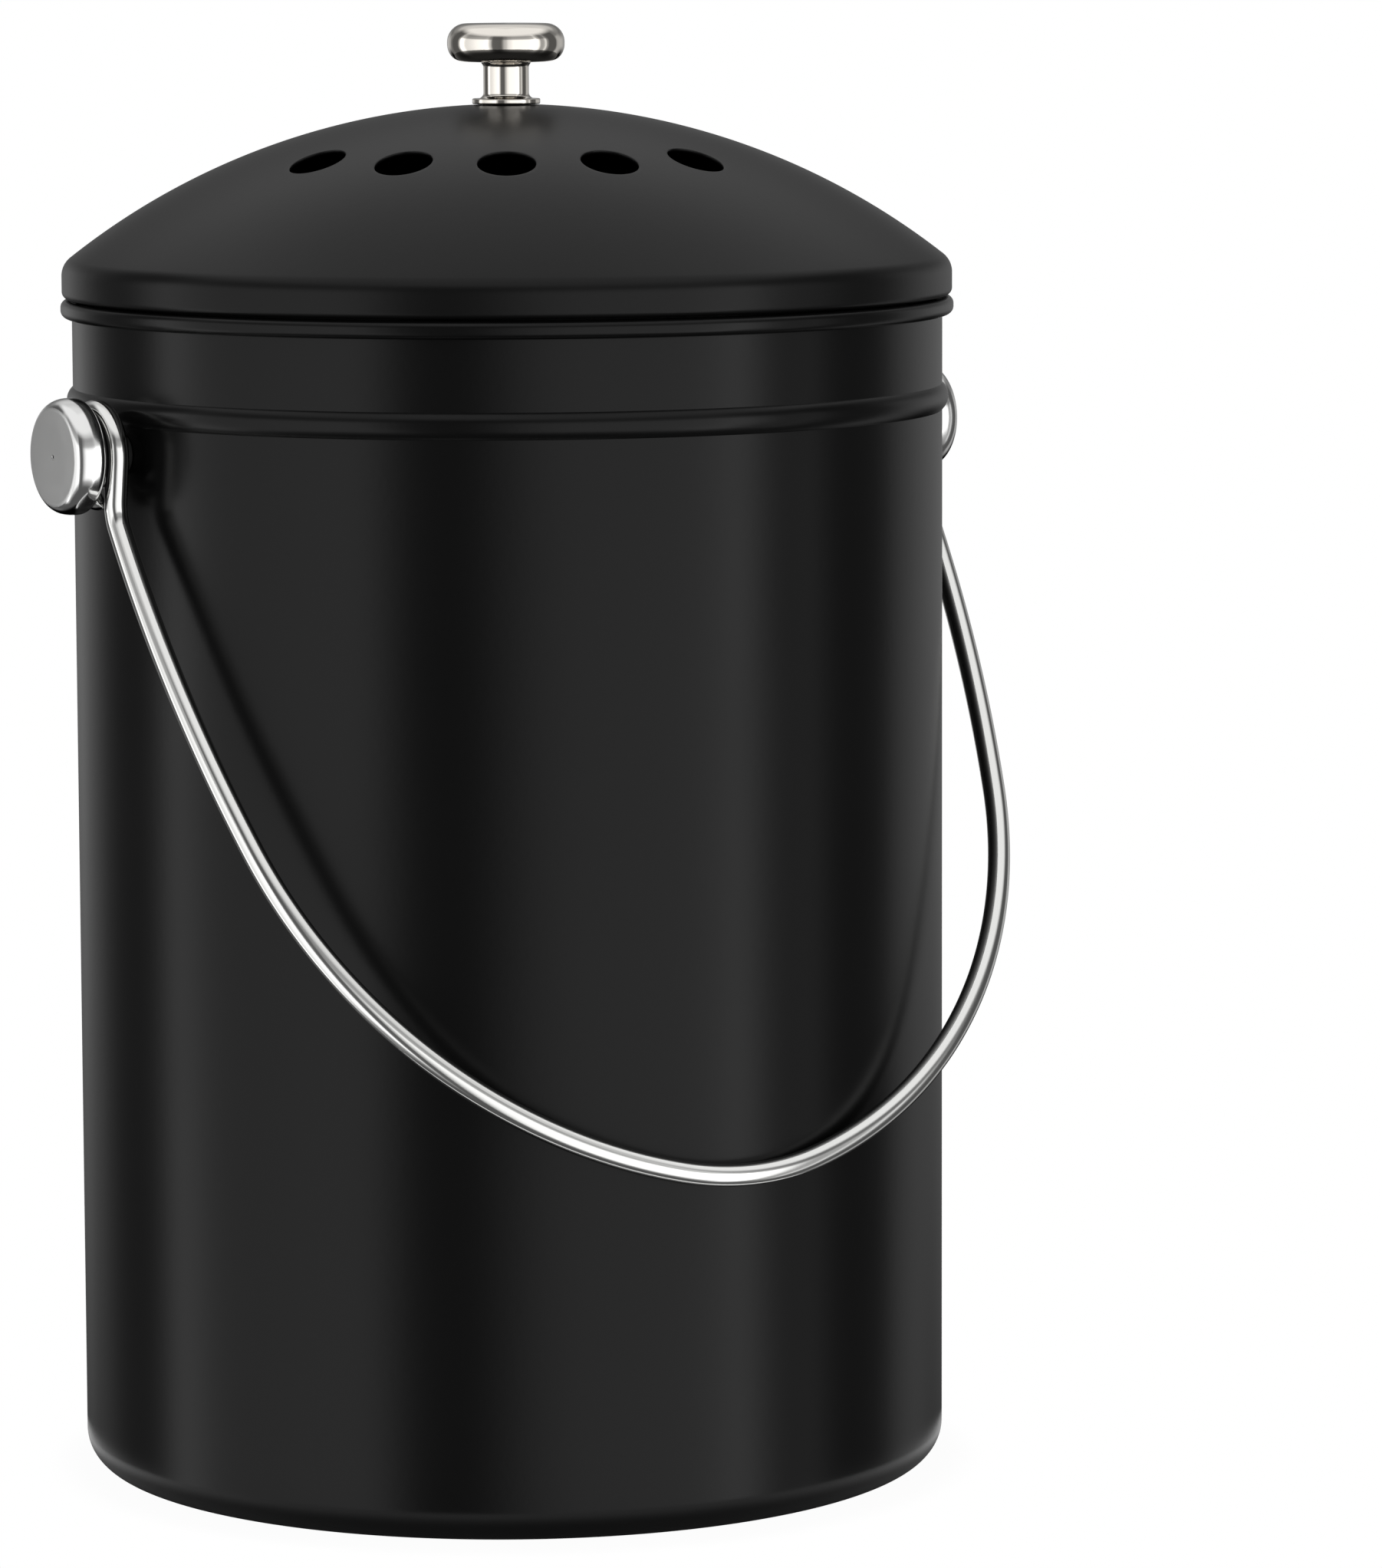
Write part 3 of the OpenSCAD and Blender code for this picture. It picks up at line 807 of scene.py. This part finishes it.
def make_dome():
    """Dome, shoulder, skirt and hem: two skins of the sheet, joined at the vents and the hem.

    The crown is a grid in tilt and turn, the band below it is made cell by cell, and the rest is
    one section turned about Z.
    """
    columns = CELLS * CELL_COLUMNS
    turn = FIRST_CELL + np.arange(columns) * 2 * math.pi / columns
    crown_tilt = np.linspace(0, BAND_TILT[0], 24)
    cell_tilt = np.linspace(*BAND_TILT, CELL_ROWS + 1)
    skins = (DOME_R, DOME_IN)
    grids = [(dome_patch(crown_tilt, turn, radius), False, True) for radius in skins]
    for cell in range(CELLS):
        if min(cell, CELLS - cell) <= VENTS // 2:
            grids.append((vent_cell(cell), False, True))
            continue
        start = FIRST_CELL + cell * CELL_TURN
        across = np.linspace(start, start + CELL_TURN, CELL_COLUMNS + 1)
        grids += [(dome_patch(cell_tilt, across, radius), False, False) for radius in skins]
    edge_tilt = math.asin(SHOULDER_AT / (DOME_R - SHOULDER_R))
    tilts = np.linspace(BAND_TILT[1], edge_tilt, 20)
    steep = 90 - math.degrees(edge_tilt)

    def skin(inset):
        """The sheet's outer or inner face, from the band down to the hem's start."""
        r = DOME_R - inset
        dome = np.stack([r * np.sin(tilts), DOME_Z + r * np.cos(tilts)], -1)
        shoulder = arc((SHOULDER_AT, SHOULDER_Z), SHOULDER_R - inset, steep, 0, 16)[1:]
        hem_c = (LID_R - HEM_R, HEM_Z)
        hem = arc(hem_c, HEM_R - inset, 0, -180, 24)
        leg = [[hem_c[0] - HEM_R + inset, HEM_Z + HEM_LEG]]
        return np.concatenate([dome, shoulder, hem, leg])

    rim = np.concatenate([skin(0), skin(LID_WALL)[::-1]])
    grids.append((revolve_z(rim, columns, FIRST_CELL), False, True))
    return piece(
        "lid_shell",
        grids,
        "lid",
        LID_COAT,
        ["lid_dome"],
        merge=0.01,
    )


def make_collar():
    """The collar's sheet: flange, fillet, wall, bottom edge, floor, pocket and stop.

    Its centreline is arcs joined by straights, given a wall and turned about Z.
    """
    t = COLLAR_WALL
    flange_z = HEM_Z + HEM_LEG
    half = t / 2
    wall = COLLAR_R - half
    flange_c = (COLLAR_R + FLANGE_FILLET, flange_z - FLANGE_FILLET)
    pocket = POCKET_R + half
    top = FILTER_HIGH[2] + half
    low = COLLAR_FLOOR + half
    edge_r = COLLAR_EDGE_R - half
    turn_r = POCKET_EDGE_R - half
    line = np.concatenate(
        [
            [[FLANGE_R, flange_z + half]],
            arc(flange_c, FLANGE_FILLET + half, 90, 180, 14),
            arc((wall - edge_r, low + edge_r), edge_r, 0, -90, 14),
            arc((pocket + turn_r, low + turn_r), turn_r, 270, 180, 12),
            arc((pocket - turn_r, top - turn_r), turn_r, 0, 90, 12),
            [[POCKET_R - STOP_W, top]],
        ]
    )
    section = sheet_loop(resample(line, 3.0), t)
    return piece(
        "collar_pan",
        [(revolve_z(section, 256), True, True)],
        "lid",
        COLLAR_COAT,
        ["lid_collar"],
        sharp=60,
    )


def make_filter():
    """A felt disc: a rounded edge, and faces dented by a sum of small waves in x and y.

    A wave is sin(2 pi (x cos w + y sin w) / length + phase), and all fade out near the edge.
    """
    radius = FILTER_HIGH[0]
    low, high = FILTER_LOW[2], FILTER_HIGH[2]
    soft = FILTER_EDGE_R
    face = np.linspace(0, radius - soft, 48)
    under = np.stack([face, np.full_like(face, low)], -1)
    side = np.concatenate(
        [
            arc((radius - soft, low + soft), soft, -90, 0, 8)[1:],
            arc((radius - soft, high - soft), soft, 0, 90, 8),
        ]
    )
    section = np.concatenate([under, side, under[::-1] * [1, 0] + [0, high]])
    grid = revolve_z(section, 192)
    rng = np.random.default_rng(7)
    x, y = grid[..., 0], grid[..., 1]
    lift = np.zeros_like(x)
    for _ in range(WAVES):
        length = rng.uniform(SHORT_WAVE, LONG_WAVE)
        way = rng.uniform(0, 2 * math.pi)
        phase = rng.uniform(0, 2 * math.pi)
        lift += np.sin(2 * math.pi * (x * math.cos(way) + y * math.sin(way)) / length + phase)
    reach = np.clip((radius - WAVES_END - np.hypot(x, y)) / WAVES_FADE, 0, 1)
    middle = (low + high) / 2
    grid[..., 2] += lift * WAVE_H * reach * np.sign(middle - grid[..., 2])
    grid[..., 2] = np.clip(grid[..., 2], low, high)
    made = piece(
        "felt_disc",
        [(grid, False, True)],
        "lid",
        FELT,
        ["charcoal_filter"],
        sharp=60,
    )
    return made


# ---------------------------------------------------------------- knob and studs


def cap_section(radius, low, high, top, under):
    """(radius, height) round a cap: a quarter ellipse below, the side, and one above.

    Each quarter ellipse is centre + (width cos a, height sin a).
    """
    return np.concatenate(
        [
            [radius - under[0], low + under[1]] + arc((0, 0), 1, -90, 0, 20) * under,
            [radius - top[0], high - top[1]] + arc((0, 0), 1, 0, 90, 24) * top,
        ]
    )


def make_knob():
    """One turned section: foot, cove, stem, cove and cap, turned about Z."""
    low = KNOB_LOW[2]
    stem_low = low + KNOB_FOOT_H
    cap_low = KNOB_HIGH[2] - CAP_H
    cove_x = STEM_R + COVE_R
    ease = 0.25
    section = np.concatenate(
        [
            [[0, low], [KNOB_FOOT_R - ease, low]],
            arc((KNOB_FOOT_R - ease, low + ease), ease, -90, 0, 5)[1:],
            arc((KNOB_FOOT_R - ease, stem_low - ease), ease, 0, 90, 5),
            arc((cove_x, stem_low + COVE_R), COVE_R, 270, 180, 12),
            arc((cove_x, cap_low - COVE_R), COVE_R, 180, 90, 12),
            cap_section(CAP_R, cap_low, KNOB_HIGH[2], CAP_TOP, CAP_UNDER),
            [[0, KNOB_HIGH[2]]],
        ]
    )
    return piece(
        "knob_turned",
        [(revolve_z(section, 160), False, True)],
        "lid",
        KNOB_NICKEL,
        ["knob"],
    )


def make_stud(side, name):
    """One turned section: spigot, shoulder and button with its dimple, turned about the pivot.

    The button's back is recessed, and its skirt reaches over the thrust washer.
    """
    inner = SPACER_X - BIN_WALL
    outer = BUTTON_X + BUTTON_H
    ease = 0.2
    dimple = arc((0, outer), DIMPLE_R, 0, -90, 6)
    rim = BUTTON_X - SKIRT_LEN
    button = cap_section(BUTTON_R, rim, outer, BUTTON_FRONT, BUTTON_BACK)
    section = np.concatenate(
        [
            [[0, inner], [SPIGOT_R, inner], [SPIGOT_R, SPACER_END]],
            [[PIN_R, SPACER_END], [PIN_R, BUTTON_X]],
            [[SKIRT_HOLE, BUTTON_X], [SKIRT_HOLE, rim]],
            button,
            [[DIMPLE_R + ease, outer]],
            dimple,
        ]
    )
    return piece(
        "stud_" + name,
        [(revolve_pivot(section, side), False, True)],
        "bin",
        STUD_NICKEL,
        ["pivot_stud_" + name],
    )


def ring_corners(outer, hole, low, high, ease):
    """The four corners of a flat ring's section, in order, each eased by a small arc."""
    return np.array(
        [
            arc((outer - ease, low + ease), ease, -90, 0, 4),
            arc((outer - ease, high - ease), ease, 0, 90, 4),
            arc((hole + ease, high - ease), ease, 90, 180, 4),
            arc((hole + ease, low + ease), ease, 180, 270, 4),
        ]
    )


def make_rings(side, name):
    """The spacer and the thrust washer of one pivot: rings turned about it.

    The spacer is a barrel with a thin flange beside the bail, so three of the flange's corners
    take the place of two of the barrel's.
    """
    hole = SPIGOT_R + RING_GAP
    flange_x = SPACER_END - SPACER_FLANGE
    flange = ring_corners(SPACER_R, hole, flange_x, SPACER_END, ease=0.2)
    barrel = ring_corners(BARREL_R, hole, SPACER_X, flange_x, ease=0.2)
    spacer = [barrel[0], [[BARREL_R, flange_x]], *flange[:3], barrel[3]]
    thrust = ring_corners(THRUST_R, PIN_R + RING_GAP, THRUST_X, BUTTON_X, ease=0.35)
    for part, corners in (("spacer_", spacer), ("thrust_washer_", thrust)):
        piece(
            part + "ring_" + name,
            [(revolve_pivot(np.concatenate(corners), side, 96), True, True)],
            "bin",
            NYLON,
            [part + name],
        )


# ---------------------------------------------------------------- bail


def bail_half():
    """The centreline of one half of the bail and its two normals, about the pivot.

    It is laid out upright: the eye's arc, the neck and the knee lie in the plane x = EYE_X, and
    the leg, the turn and the grip are three arcs in the plane y = 0, each on from the last. The
    first normal lies across the hook along X, and the second across the arcs along Y.
    """
    knee_tangent = KNEE_R * math.tan(NECK_ANGLE / 2)
    neck_len = EYE_R / math.tan(NECK_ANGLE) - knee_tangent
    leg_drop = EYE_R / math.sin(NECK_ANGLE) + knee_tangent
    end = math.pi + NECK_ANGLE
    start = end + EYE_OPEN - 2 * math.pi
    a = np.linspace(start, end, 72)
    eye = np.stack([EYE_X + 0 * a, EYE_R * np.cos(a), EYE_R * np.sin(a)], -1)
    eye_in = np.stack([0 * a, -np.cos(a), -np.sin(a)], -1)
    s = np.linspace(0, neck_len, 5)[1:-1, None]
    along = np.array([0, math.sin(NECK_ANGLE), -math.cos(NECK_ANGLE)])
    neck = eye[-1] + s * along
    neck_in = np.repeat(eye_in[-1:], len(neck), 0)
    b = np.linspace(NECK_ANGLE, 0, 13)
    knee = np.stack(
        [
            EYE_X + 0 * b,
            -KNEE_R + KNEE_R * np.cos(b),
            -leg_drop + KNEE_R * np.sin(b),
        ],
        -1,
    )
    knee_in = np.stack([0 * b, np.cos(b), np.sin(b)], -1)
    hook = np.concatenate([eye, neck, knee])
    second = np.concatenate([eye_in, neck_in, knee_in])
    first = np.repeat([[1.0, 0, 0]], len(hook), 0)

    sweep_in = LEG_R * (1 - math.cos(LEG_TURN))
    grip_in = GRIP_R * math.cos(GRIP_TURN)
    turn_r = (EYE_X - sweep_in - grip_in) / (math.cos(LEG_TURN) - math.cos(GRIP_TURN))
    parts, at = [], np.array([EYE_X, -leg_drop])
    for radius, h0, h1, steps in (
        (LEG_R, 0, LEG_TURN, 36),
        (turn_r, LEG_TURN, GRIP_TURN, 64),
        (GRIP_R, GRIP_TURN, math.pi / 2, 12),
    ):
        h = np.linspace(h0, h1, steps + 1)[1:]
        x = at[0] - radius * (math.cos(h0) - np.cos(h))
        z = at[1] - radius * (np.sin(h) - math.sin(h0))
        parts.append(np.stack([x, 0 * h, z, h], -1))
        at = np.array([x[-1], z[-1]])
    arcs = np.concatenate(parts)
    h = arcs[:, 3]
    line = np.concatenate([hook, arcs[:, :3]])
    first = np.concatenate([first, np.stack([np.cos(h), 0 * h, -np.sin(h)], -1)])
    second = np.concatenate([second, np.repeat([[0, 1.0, 0]], len(arcs), 0)])
    return line, first, second


def make_bail():
    """A circle of the wire's radius carried along both halves of the centreline.

    A point is line + r (cos a * first + sin a * second). Both cut ends are closed over an eased
    edge, and the whole bail is tilted about the pivot until its grip hangs just off the bin.
    """
    line, first, second = bail_half()
    # The other half is the same in the mirror, from the middle of the grip back to its eye
    flip = np.array([-1.0, 1, 1])
    line, first, second = (
        np.concatenate([half, (half * flip)[-2::-1]]) for half in (line, first, second)
    )
    run = np.r_[0, np.cumsum(np.linalg.norm(np.diff(line, axis=0), axis=1))]
    ease = 0.35
    b = np.radians(np.linspace(0, 90, 5))
    end_r = np.r_[0.0, WIRE_R - ease + ease * np.sin(b)]
    end_in = np.r_[0.0, ease * (1 - np.cos(b))][:, None]
    ends = len(end_r)
    inside = np.flatnonzero((run > ease + APART) & (run < run[-1] - ease - APART))
    at = np.r_[np.zeros(ends, int), inside, np.full(ends, len(run) - 1)]
    centres, length = line[at], run[at]
    radii = np.full(len(at), WIRE_R)
    radii[:ends], radii[-ends:] = end_r, end_r[::-1]
    centres[:ends] += end_in * (line[1] - line[0]) / run[1]
    centres[-ends:] += end_in[::-1] * (line[-2] - line[-1]) / (run[-1] - run[-2])
    around = 40
    a = (np.arange(around) * 2 * np.pi / around)[:, None]
    spread = np.cos(a) * first[at][:, None] + np.sin(a) * second[at][:, None]
    grid = centres[:, None] + radii[:, None, None] * spread
    reach = -line[:, 2].min()
    tilt = math.asin((BIN_R + WIRE_R + BAIL_SEAT) / reach)
    y, z = grid[..., 1].copy(), grid[..., 2].copy()
    grid[..., 1] = y * math.cos(tilt) + z * math.sin(tilt)
    grid[..., 2] = -y * math.sin(tilt) + z * math.cos(tilt) + PIVOT_Z
    rows = np.arange(len(grid) - 1)
    cols = np.arange(around)
    row, col = (m.ravel() for m in np.meshgrid(rows, cols, indexing="ij"))
    u = np.stack([length[row], length[row], length[row + 1], length[row + 1]], -1)
    v = np.stack([col, col + 1, col + 1, col], -1) / around
    return piece(
        "bail_wire",
        [(grid, False, True)],
        "bail",
        WIRE_STEEL,
        ["bail_handle"],
        sharp=60,
        uv=np.stack([u, v], -1),
    )


# ---------------------------------------------------------------- studio


# Azimuth round the object in degrees, 0 at the camera and positive to the right, and the
# brightness of the soft boxes there, with unlit gaps between them
SIDE_BOXES = [
    (-180, 0.14), (-166, 0.2), (-157, 0.46), (-143, 0.34), (-134, 0.1), (-127, 0.0),
    (-110, 0.0), (-105, 0.4), (-100, 1.75), (-94, 1.4), (-86, 0.84), (-46, 1.25),
    (-38, 1.5), (-31, 0.6), (-26, 0.03), (-10, 0.02), (-1, 0.5), (7, 0.95),
    (16, 1.2), (46, 1.25), (56, 1.5), (62, 2.6), (68, 1.15), (74, 0.3),
    (80, 0.34), (86, 0.8), (90, 0.2), (96, 0.0), (115, 0.0), (124, 0.36),
    (136, 0.4), (166, 0.2),
]
# Height, as the sine of the elevation, and the share of the side boxes there
SIDE_HEIGHT = [
    (-0.84, 0.0), (-0.75, 0.2), (-0.6, 1.0), (0.24, 1.0), (0.38, 0.3), (0.6, 0.2), (0.74, 0.0),
]
# The same heights, and the brightness of the overhead box
TOP_HEIGHT = [(0.54, 0.1), (0.78, 1.0)]
# The same heights, and the brightness behind the object
BACK_HEIGHT = [
    (-0.1, 0.0), (0.05, 0.12), (0.25, 0.15), (0.42, 0.28),
    (0.57, 0.6), (0.7, 0.72), (0.82, 0.7), (0.97, 0.86),
]
# Degrees from the camera's side, and heights up or down, over which that brightness takes over
BEHIND = (124.0, 152.0)
OFF_LEVEL = (0.05, 0.3)
# The paper roll, in degrees from the camera's side and in height
ROLL_TURN = (173.0, 181.0)
ROLL_HEIGHT = (-0.3, 0.0)


def grey_ramp(tree, value, low, high, stops):
    """Brightness against a value that runs from low to high, eased from stop to stop."""
    place = put(
        tree, "ShaderNodeMapRange", {"Value": value, "From Min": low, "From Max": high}
    ).outputs["Result"]
    ramp = put(tree, "ShaderNodeValToRGB", {"Fac": place})
    ramp.color_ramp.interpolation = "EASE"
    elements = ramp.color_ramp.elements
    while len(elements) < len(stops):
        elements.new(0.5)
    for element, (at, level) in zip(elements, stops):
        element.position = (at - low) / (high - low)
        element.color = (level, level, level, 1)
    return ramp.outputs["Color"]


def within(tree, value, low, high):
    """1 where a value lies between two bounds and 0 elsewhere: the product of two tests."""
    over = put(tree, "ShaderNodeMath", {0: value, 1: low}, operation="GREATER_THAN")
    under = put(tree, "ShaderNodeMath", {0: value, 1: high}, operation="LESS_THAN")
    return put(
        tree, "ShaderNodeMath", {0: over.outputs[0], 1: under.outputs[0]}, operation="MULTIPLY"
    ).outputs[0]


def share_of_white(tree, to_camera, to_mirrors):
    """The share of white in what a ray sees.

    It is to_camera for the camera's rays, to_mirrors for glossy and transmission rays, and 0 for
    the rest.
    """
    path = put(tree, "ShaderNodeLightPath").outputs
    camera = put(
        tree, "ShaderNodeMath", {0: path["Is Camera Ray"], 1: to_camera}, operation="MULTIPLY"
    ).outputs[0]
    mirrored = put(
        tree,
        "ShaderNodeMath",
        {0: path["Is Glossy Ray"], 1: path["Is Transmission Ray"]},
        operation="MAXIMUM",
    ).outputs[0]
    mirrors = put(
        tree, "ShaderNodeMath", {0: mirrored, 1: to_mirrors}, operation="MULTIPLY"
    ).outputs[0]
    return put(tree, "ShaderNodeMath", {0: camera, 1: mirrors}, operation="MAXIMUM").outputs[0]


def make_world():
    """A soft studio as a function of direction, and plain white for the camera.

    Brightness is side(azimuth) * share(height) + top(height), and behind the object and away from
    the level it goes over into back(height). Mirrors see a narrow roll of white paper behind the
    object, and the camera sees that white everywhere.
    """
    world = bpy.data.worlds.new("studio")
    bpy.context.scene.world = world
    world.use_nodes = True
    tree = world.node_tree
    tree.nodes.clear()
    way = put(tree, "ShaderNodeTexCoord").outputs["Generated"]
    turned = put(
        tree,
        "ShaderNodeVectorRotate",
        {"Vector": way, "Axis": (0, 0, 1), "Angle": CAMERA_TURN},
        rotation_type="AXIS_ANGLE",
    ).outputs["Vector"]
    split = put(tree, "ShaderNodeSeparateXYZ", {"Vector": turned}).outputs
    height = split["Z"]
    nearer = put(
        tree, "ShaderNodeMath", {0: split["Y"], 1: -1.0}, operation="MULTIPLY"
    ).outputs[0]
    azimuth = put(
        tree, "ShaderNodeMath", {0: split["X"], 1: nearer}, operation="ARCTAN2"
    ).outputs[0]
    degrees = put(
        tree, "ShaderNodeMath", {0: azimuth, 1: 180 / math.pi}, operation="MULTIPLY"
    ).outputs[0]
    aside = put(tree, "ShaderNodeMath", {0: degrees}, operation="ABSOLUTE").outputs[0]
    slope = put(tree, "ShaderNodeMath", {0: height}, operation="ABSOLUTE").outputs[0]
    side = grey_ramp(tree, degrees, -180, 180, SIDE_BOXES)
    share = grey_ramp(tree, height, -1, 1, SIDE_HEIGHT)
    top = grey_ramp(tree, height, -1, 1, TOP_HEIGHT)
    back = grey_ramp(tree, height, -1, 1, BACK_HEIGHT)
    lit = put(
        tree, "ShaderNodeVectorMath", {0: side, 1: share, 2: top}, operation="MULTIPLY_ADD"
    ).outputs["Vector"]
    behind, off_level = (
        put(
            tree,
            "ShaderNodeMapRange",
            {"Value": value, "From Min": start, "From Max": end},
            interpolation_type="SMOOTHSTEP",
        ).outputs["Result"]
        for value, (start, end) in ((aside, BEHIND), (slope, OFF_LEVEL))
    )
    blend = put(
        tree, "ShaderNodeMath", {0: behind, 1: off_level}, operation="MULTIPLY"
    ).outputs[0]
    level = put(
        tree, "ShaderNodeMix", {"Factor": blend, "A": lit, "B": back}, data_type="VECTOR"
    ).outputs["Result"]
    roll = put(
        tree,
        "ShaderNodeMath",
        {0: within(tree, aside, *ROLL_TURN), 1: within(tree, height, *ROLL_HEIGHT)},
        operation="MULTIPLY",
    ).outputs[0]
    studio = put(tree, "ShaderNodeBackground", {"Color": level}).outputs[0]
    white = put(
        tree, "ShaderNodeBackground", {"Color": (1, 1, 1, 1), "Strength": 1.0}
    ).outputs[0]
    seen = share_of_white(tree, 1.0, roll)
    mixed = put(tree, "ShaderNodeMixShader", {0: seen, 1: studio, 2: white})
    put(tree, "ShaderNodeOutputWorld", {"Surface": mixed.outputs[0]})


def make_floor():
    """A round pale table top of radius FLOOR_R, which turns into plain white towards its edge.

    The white is an emission of 1, mixed over the lit surface for the camera, and for glossy and
    transmission rays away from the object. The lit surface under it keeps the object's shadow.
    """
    a = np.linspace(0, 2 * np.pi, 97)[:-1]
    ring = np.stack([FLOOR_R * np.cos(a), FLOOR_R * np.sin(a), FLOOR_Z + 0 * a], -1) * MM
    mesh = bpy.data.meshes.new("floor")
    mesh.from_pydata(ring.tolist(), [], [list(range(len(ring)))])
    floor = bpy.data.objects.new("floor", mesh)
    bpy.context.scene.collection.objects.link(floor)
    material, tree = start_material("paper_white")
    where = put(tree, "ShaderNodeTexCoord").outputs["Object"]
    flat = put(
        tree, "ShaderNodeVectorMath", {0: where, 1: (1, 1, 0)}, operation="MULTIPLY"
    ).outputs["Vector"]
    radius = put(tree, "ShaderNodeVectorMath", {0: flat}, operation="LENGTH").outputs["Value"]
    away = put(
        tree,
        "ShaderNodeMapRange",
        {"Value": radius, "From Min": SHADOW_R * MM, "From Max": WHITE_R * MM},
        interpolation_type="SMOOTHSTEP",
    ).outputs["Result"]
    near_white = put(
        tree, "ShaderNodeMapRange", {"Value": away, "To Min": NEAR_WHITE, "To Max": 1.0}
    ).outputs["Result"]
    lit = put(tree, "ShaderNodeBsdfDiffuse", {"Color": linear("#bcbcbc")}).outputs[0]
    glow = put(tree, "ShaderNodeEmission", {"Color": (1, 1, 1, 1), "Strength": 1.0}).outputs[0]
    seen = share_of_white(tree, near_white, away)
    mixed = put(tree, "ShaderNodeMixShader", {0: seen, 1: lit, 2: glow})
    put(tree, "ShaderNodeOutputMaterial", {"Surface": mixed.outputs[0]})
    mesh.materials.append(material)


def make_camera():
    """The camera: its forward, right and down directions from the yaw, pitch and roll."""
    yaw = CAMERA_YAW + CAMERA_TURN
    pitch, roll = CAMERA_PITCH, CAMERA_ROLL
    forward = np.array(
        [math.sin(yaw) * math.cos(pitch), math.cos(yaw) * math.cos(pitch), -math.sin(pitch)]
    )
    right = np.array([math.cos(yaw), -math.sin(yaw), 0])
    down = np.cross(forward, right)
    across = math.cos(roll) * right + math.sin(roll) * down
    below = -math.sin(roll) * right + math.cos(roll) * down
    data = bpy.data.cameras.new("camera")
    data.sensor_width = CAMERA_SENSOR
    data.lens = CAMERA_LENS
    data.clip_start = CAMERA_NEAR * MM
    data.clip_end = CAMERA_FAR * MM
    camera = bpy.data.objects.new("camera", data)
    turn = Matrix(np.stack([across, -below, -forward], -1).tolist())
    camera.matrix_world = Matrix.Translation((CAMERA_AT * MM).tolist()) @ turn.to_4x4()
    bpy.context.scene.collection.objects.link(camera)
    bpy.context.scene.camera = camera


# ---------------------------------------------------------------- the caddy

make_camera()
make_world()
make_floor()
make_bin()
make_dome()
make_collar()
make_filter()
make_knob()
for side, name in ((-1, "left"), (1, "right")):
    make_stud(side, name)
    make_rings(side, name)
make_bail()

# The screws and the washers inside keep the frame's own meshes
for node in (
    "pivot_screw_left",
    "pivot_screw_right",
    "backing_washer_left",
    "backing_washer_right",
    "knob_washer",
    "knob_lock_washer",
    "knob_screw",
):
    cad = frame["nodes"][node]
    cad.data.materials.clear()
    cad.data.materials.append(ZINC)

bpy.context.scene.view_settings.view_transform = "Standard"
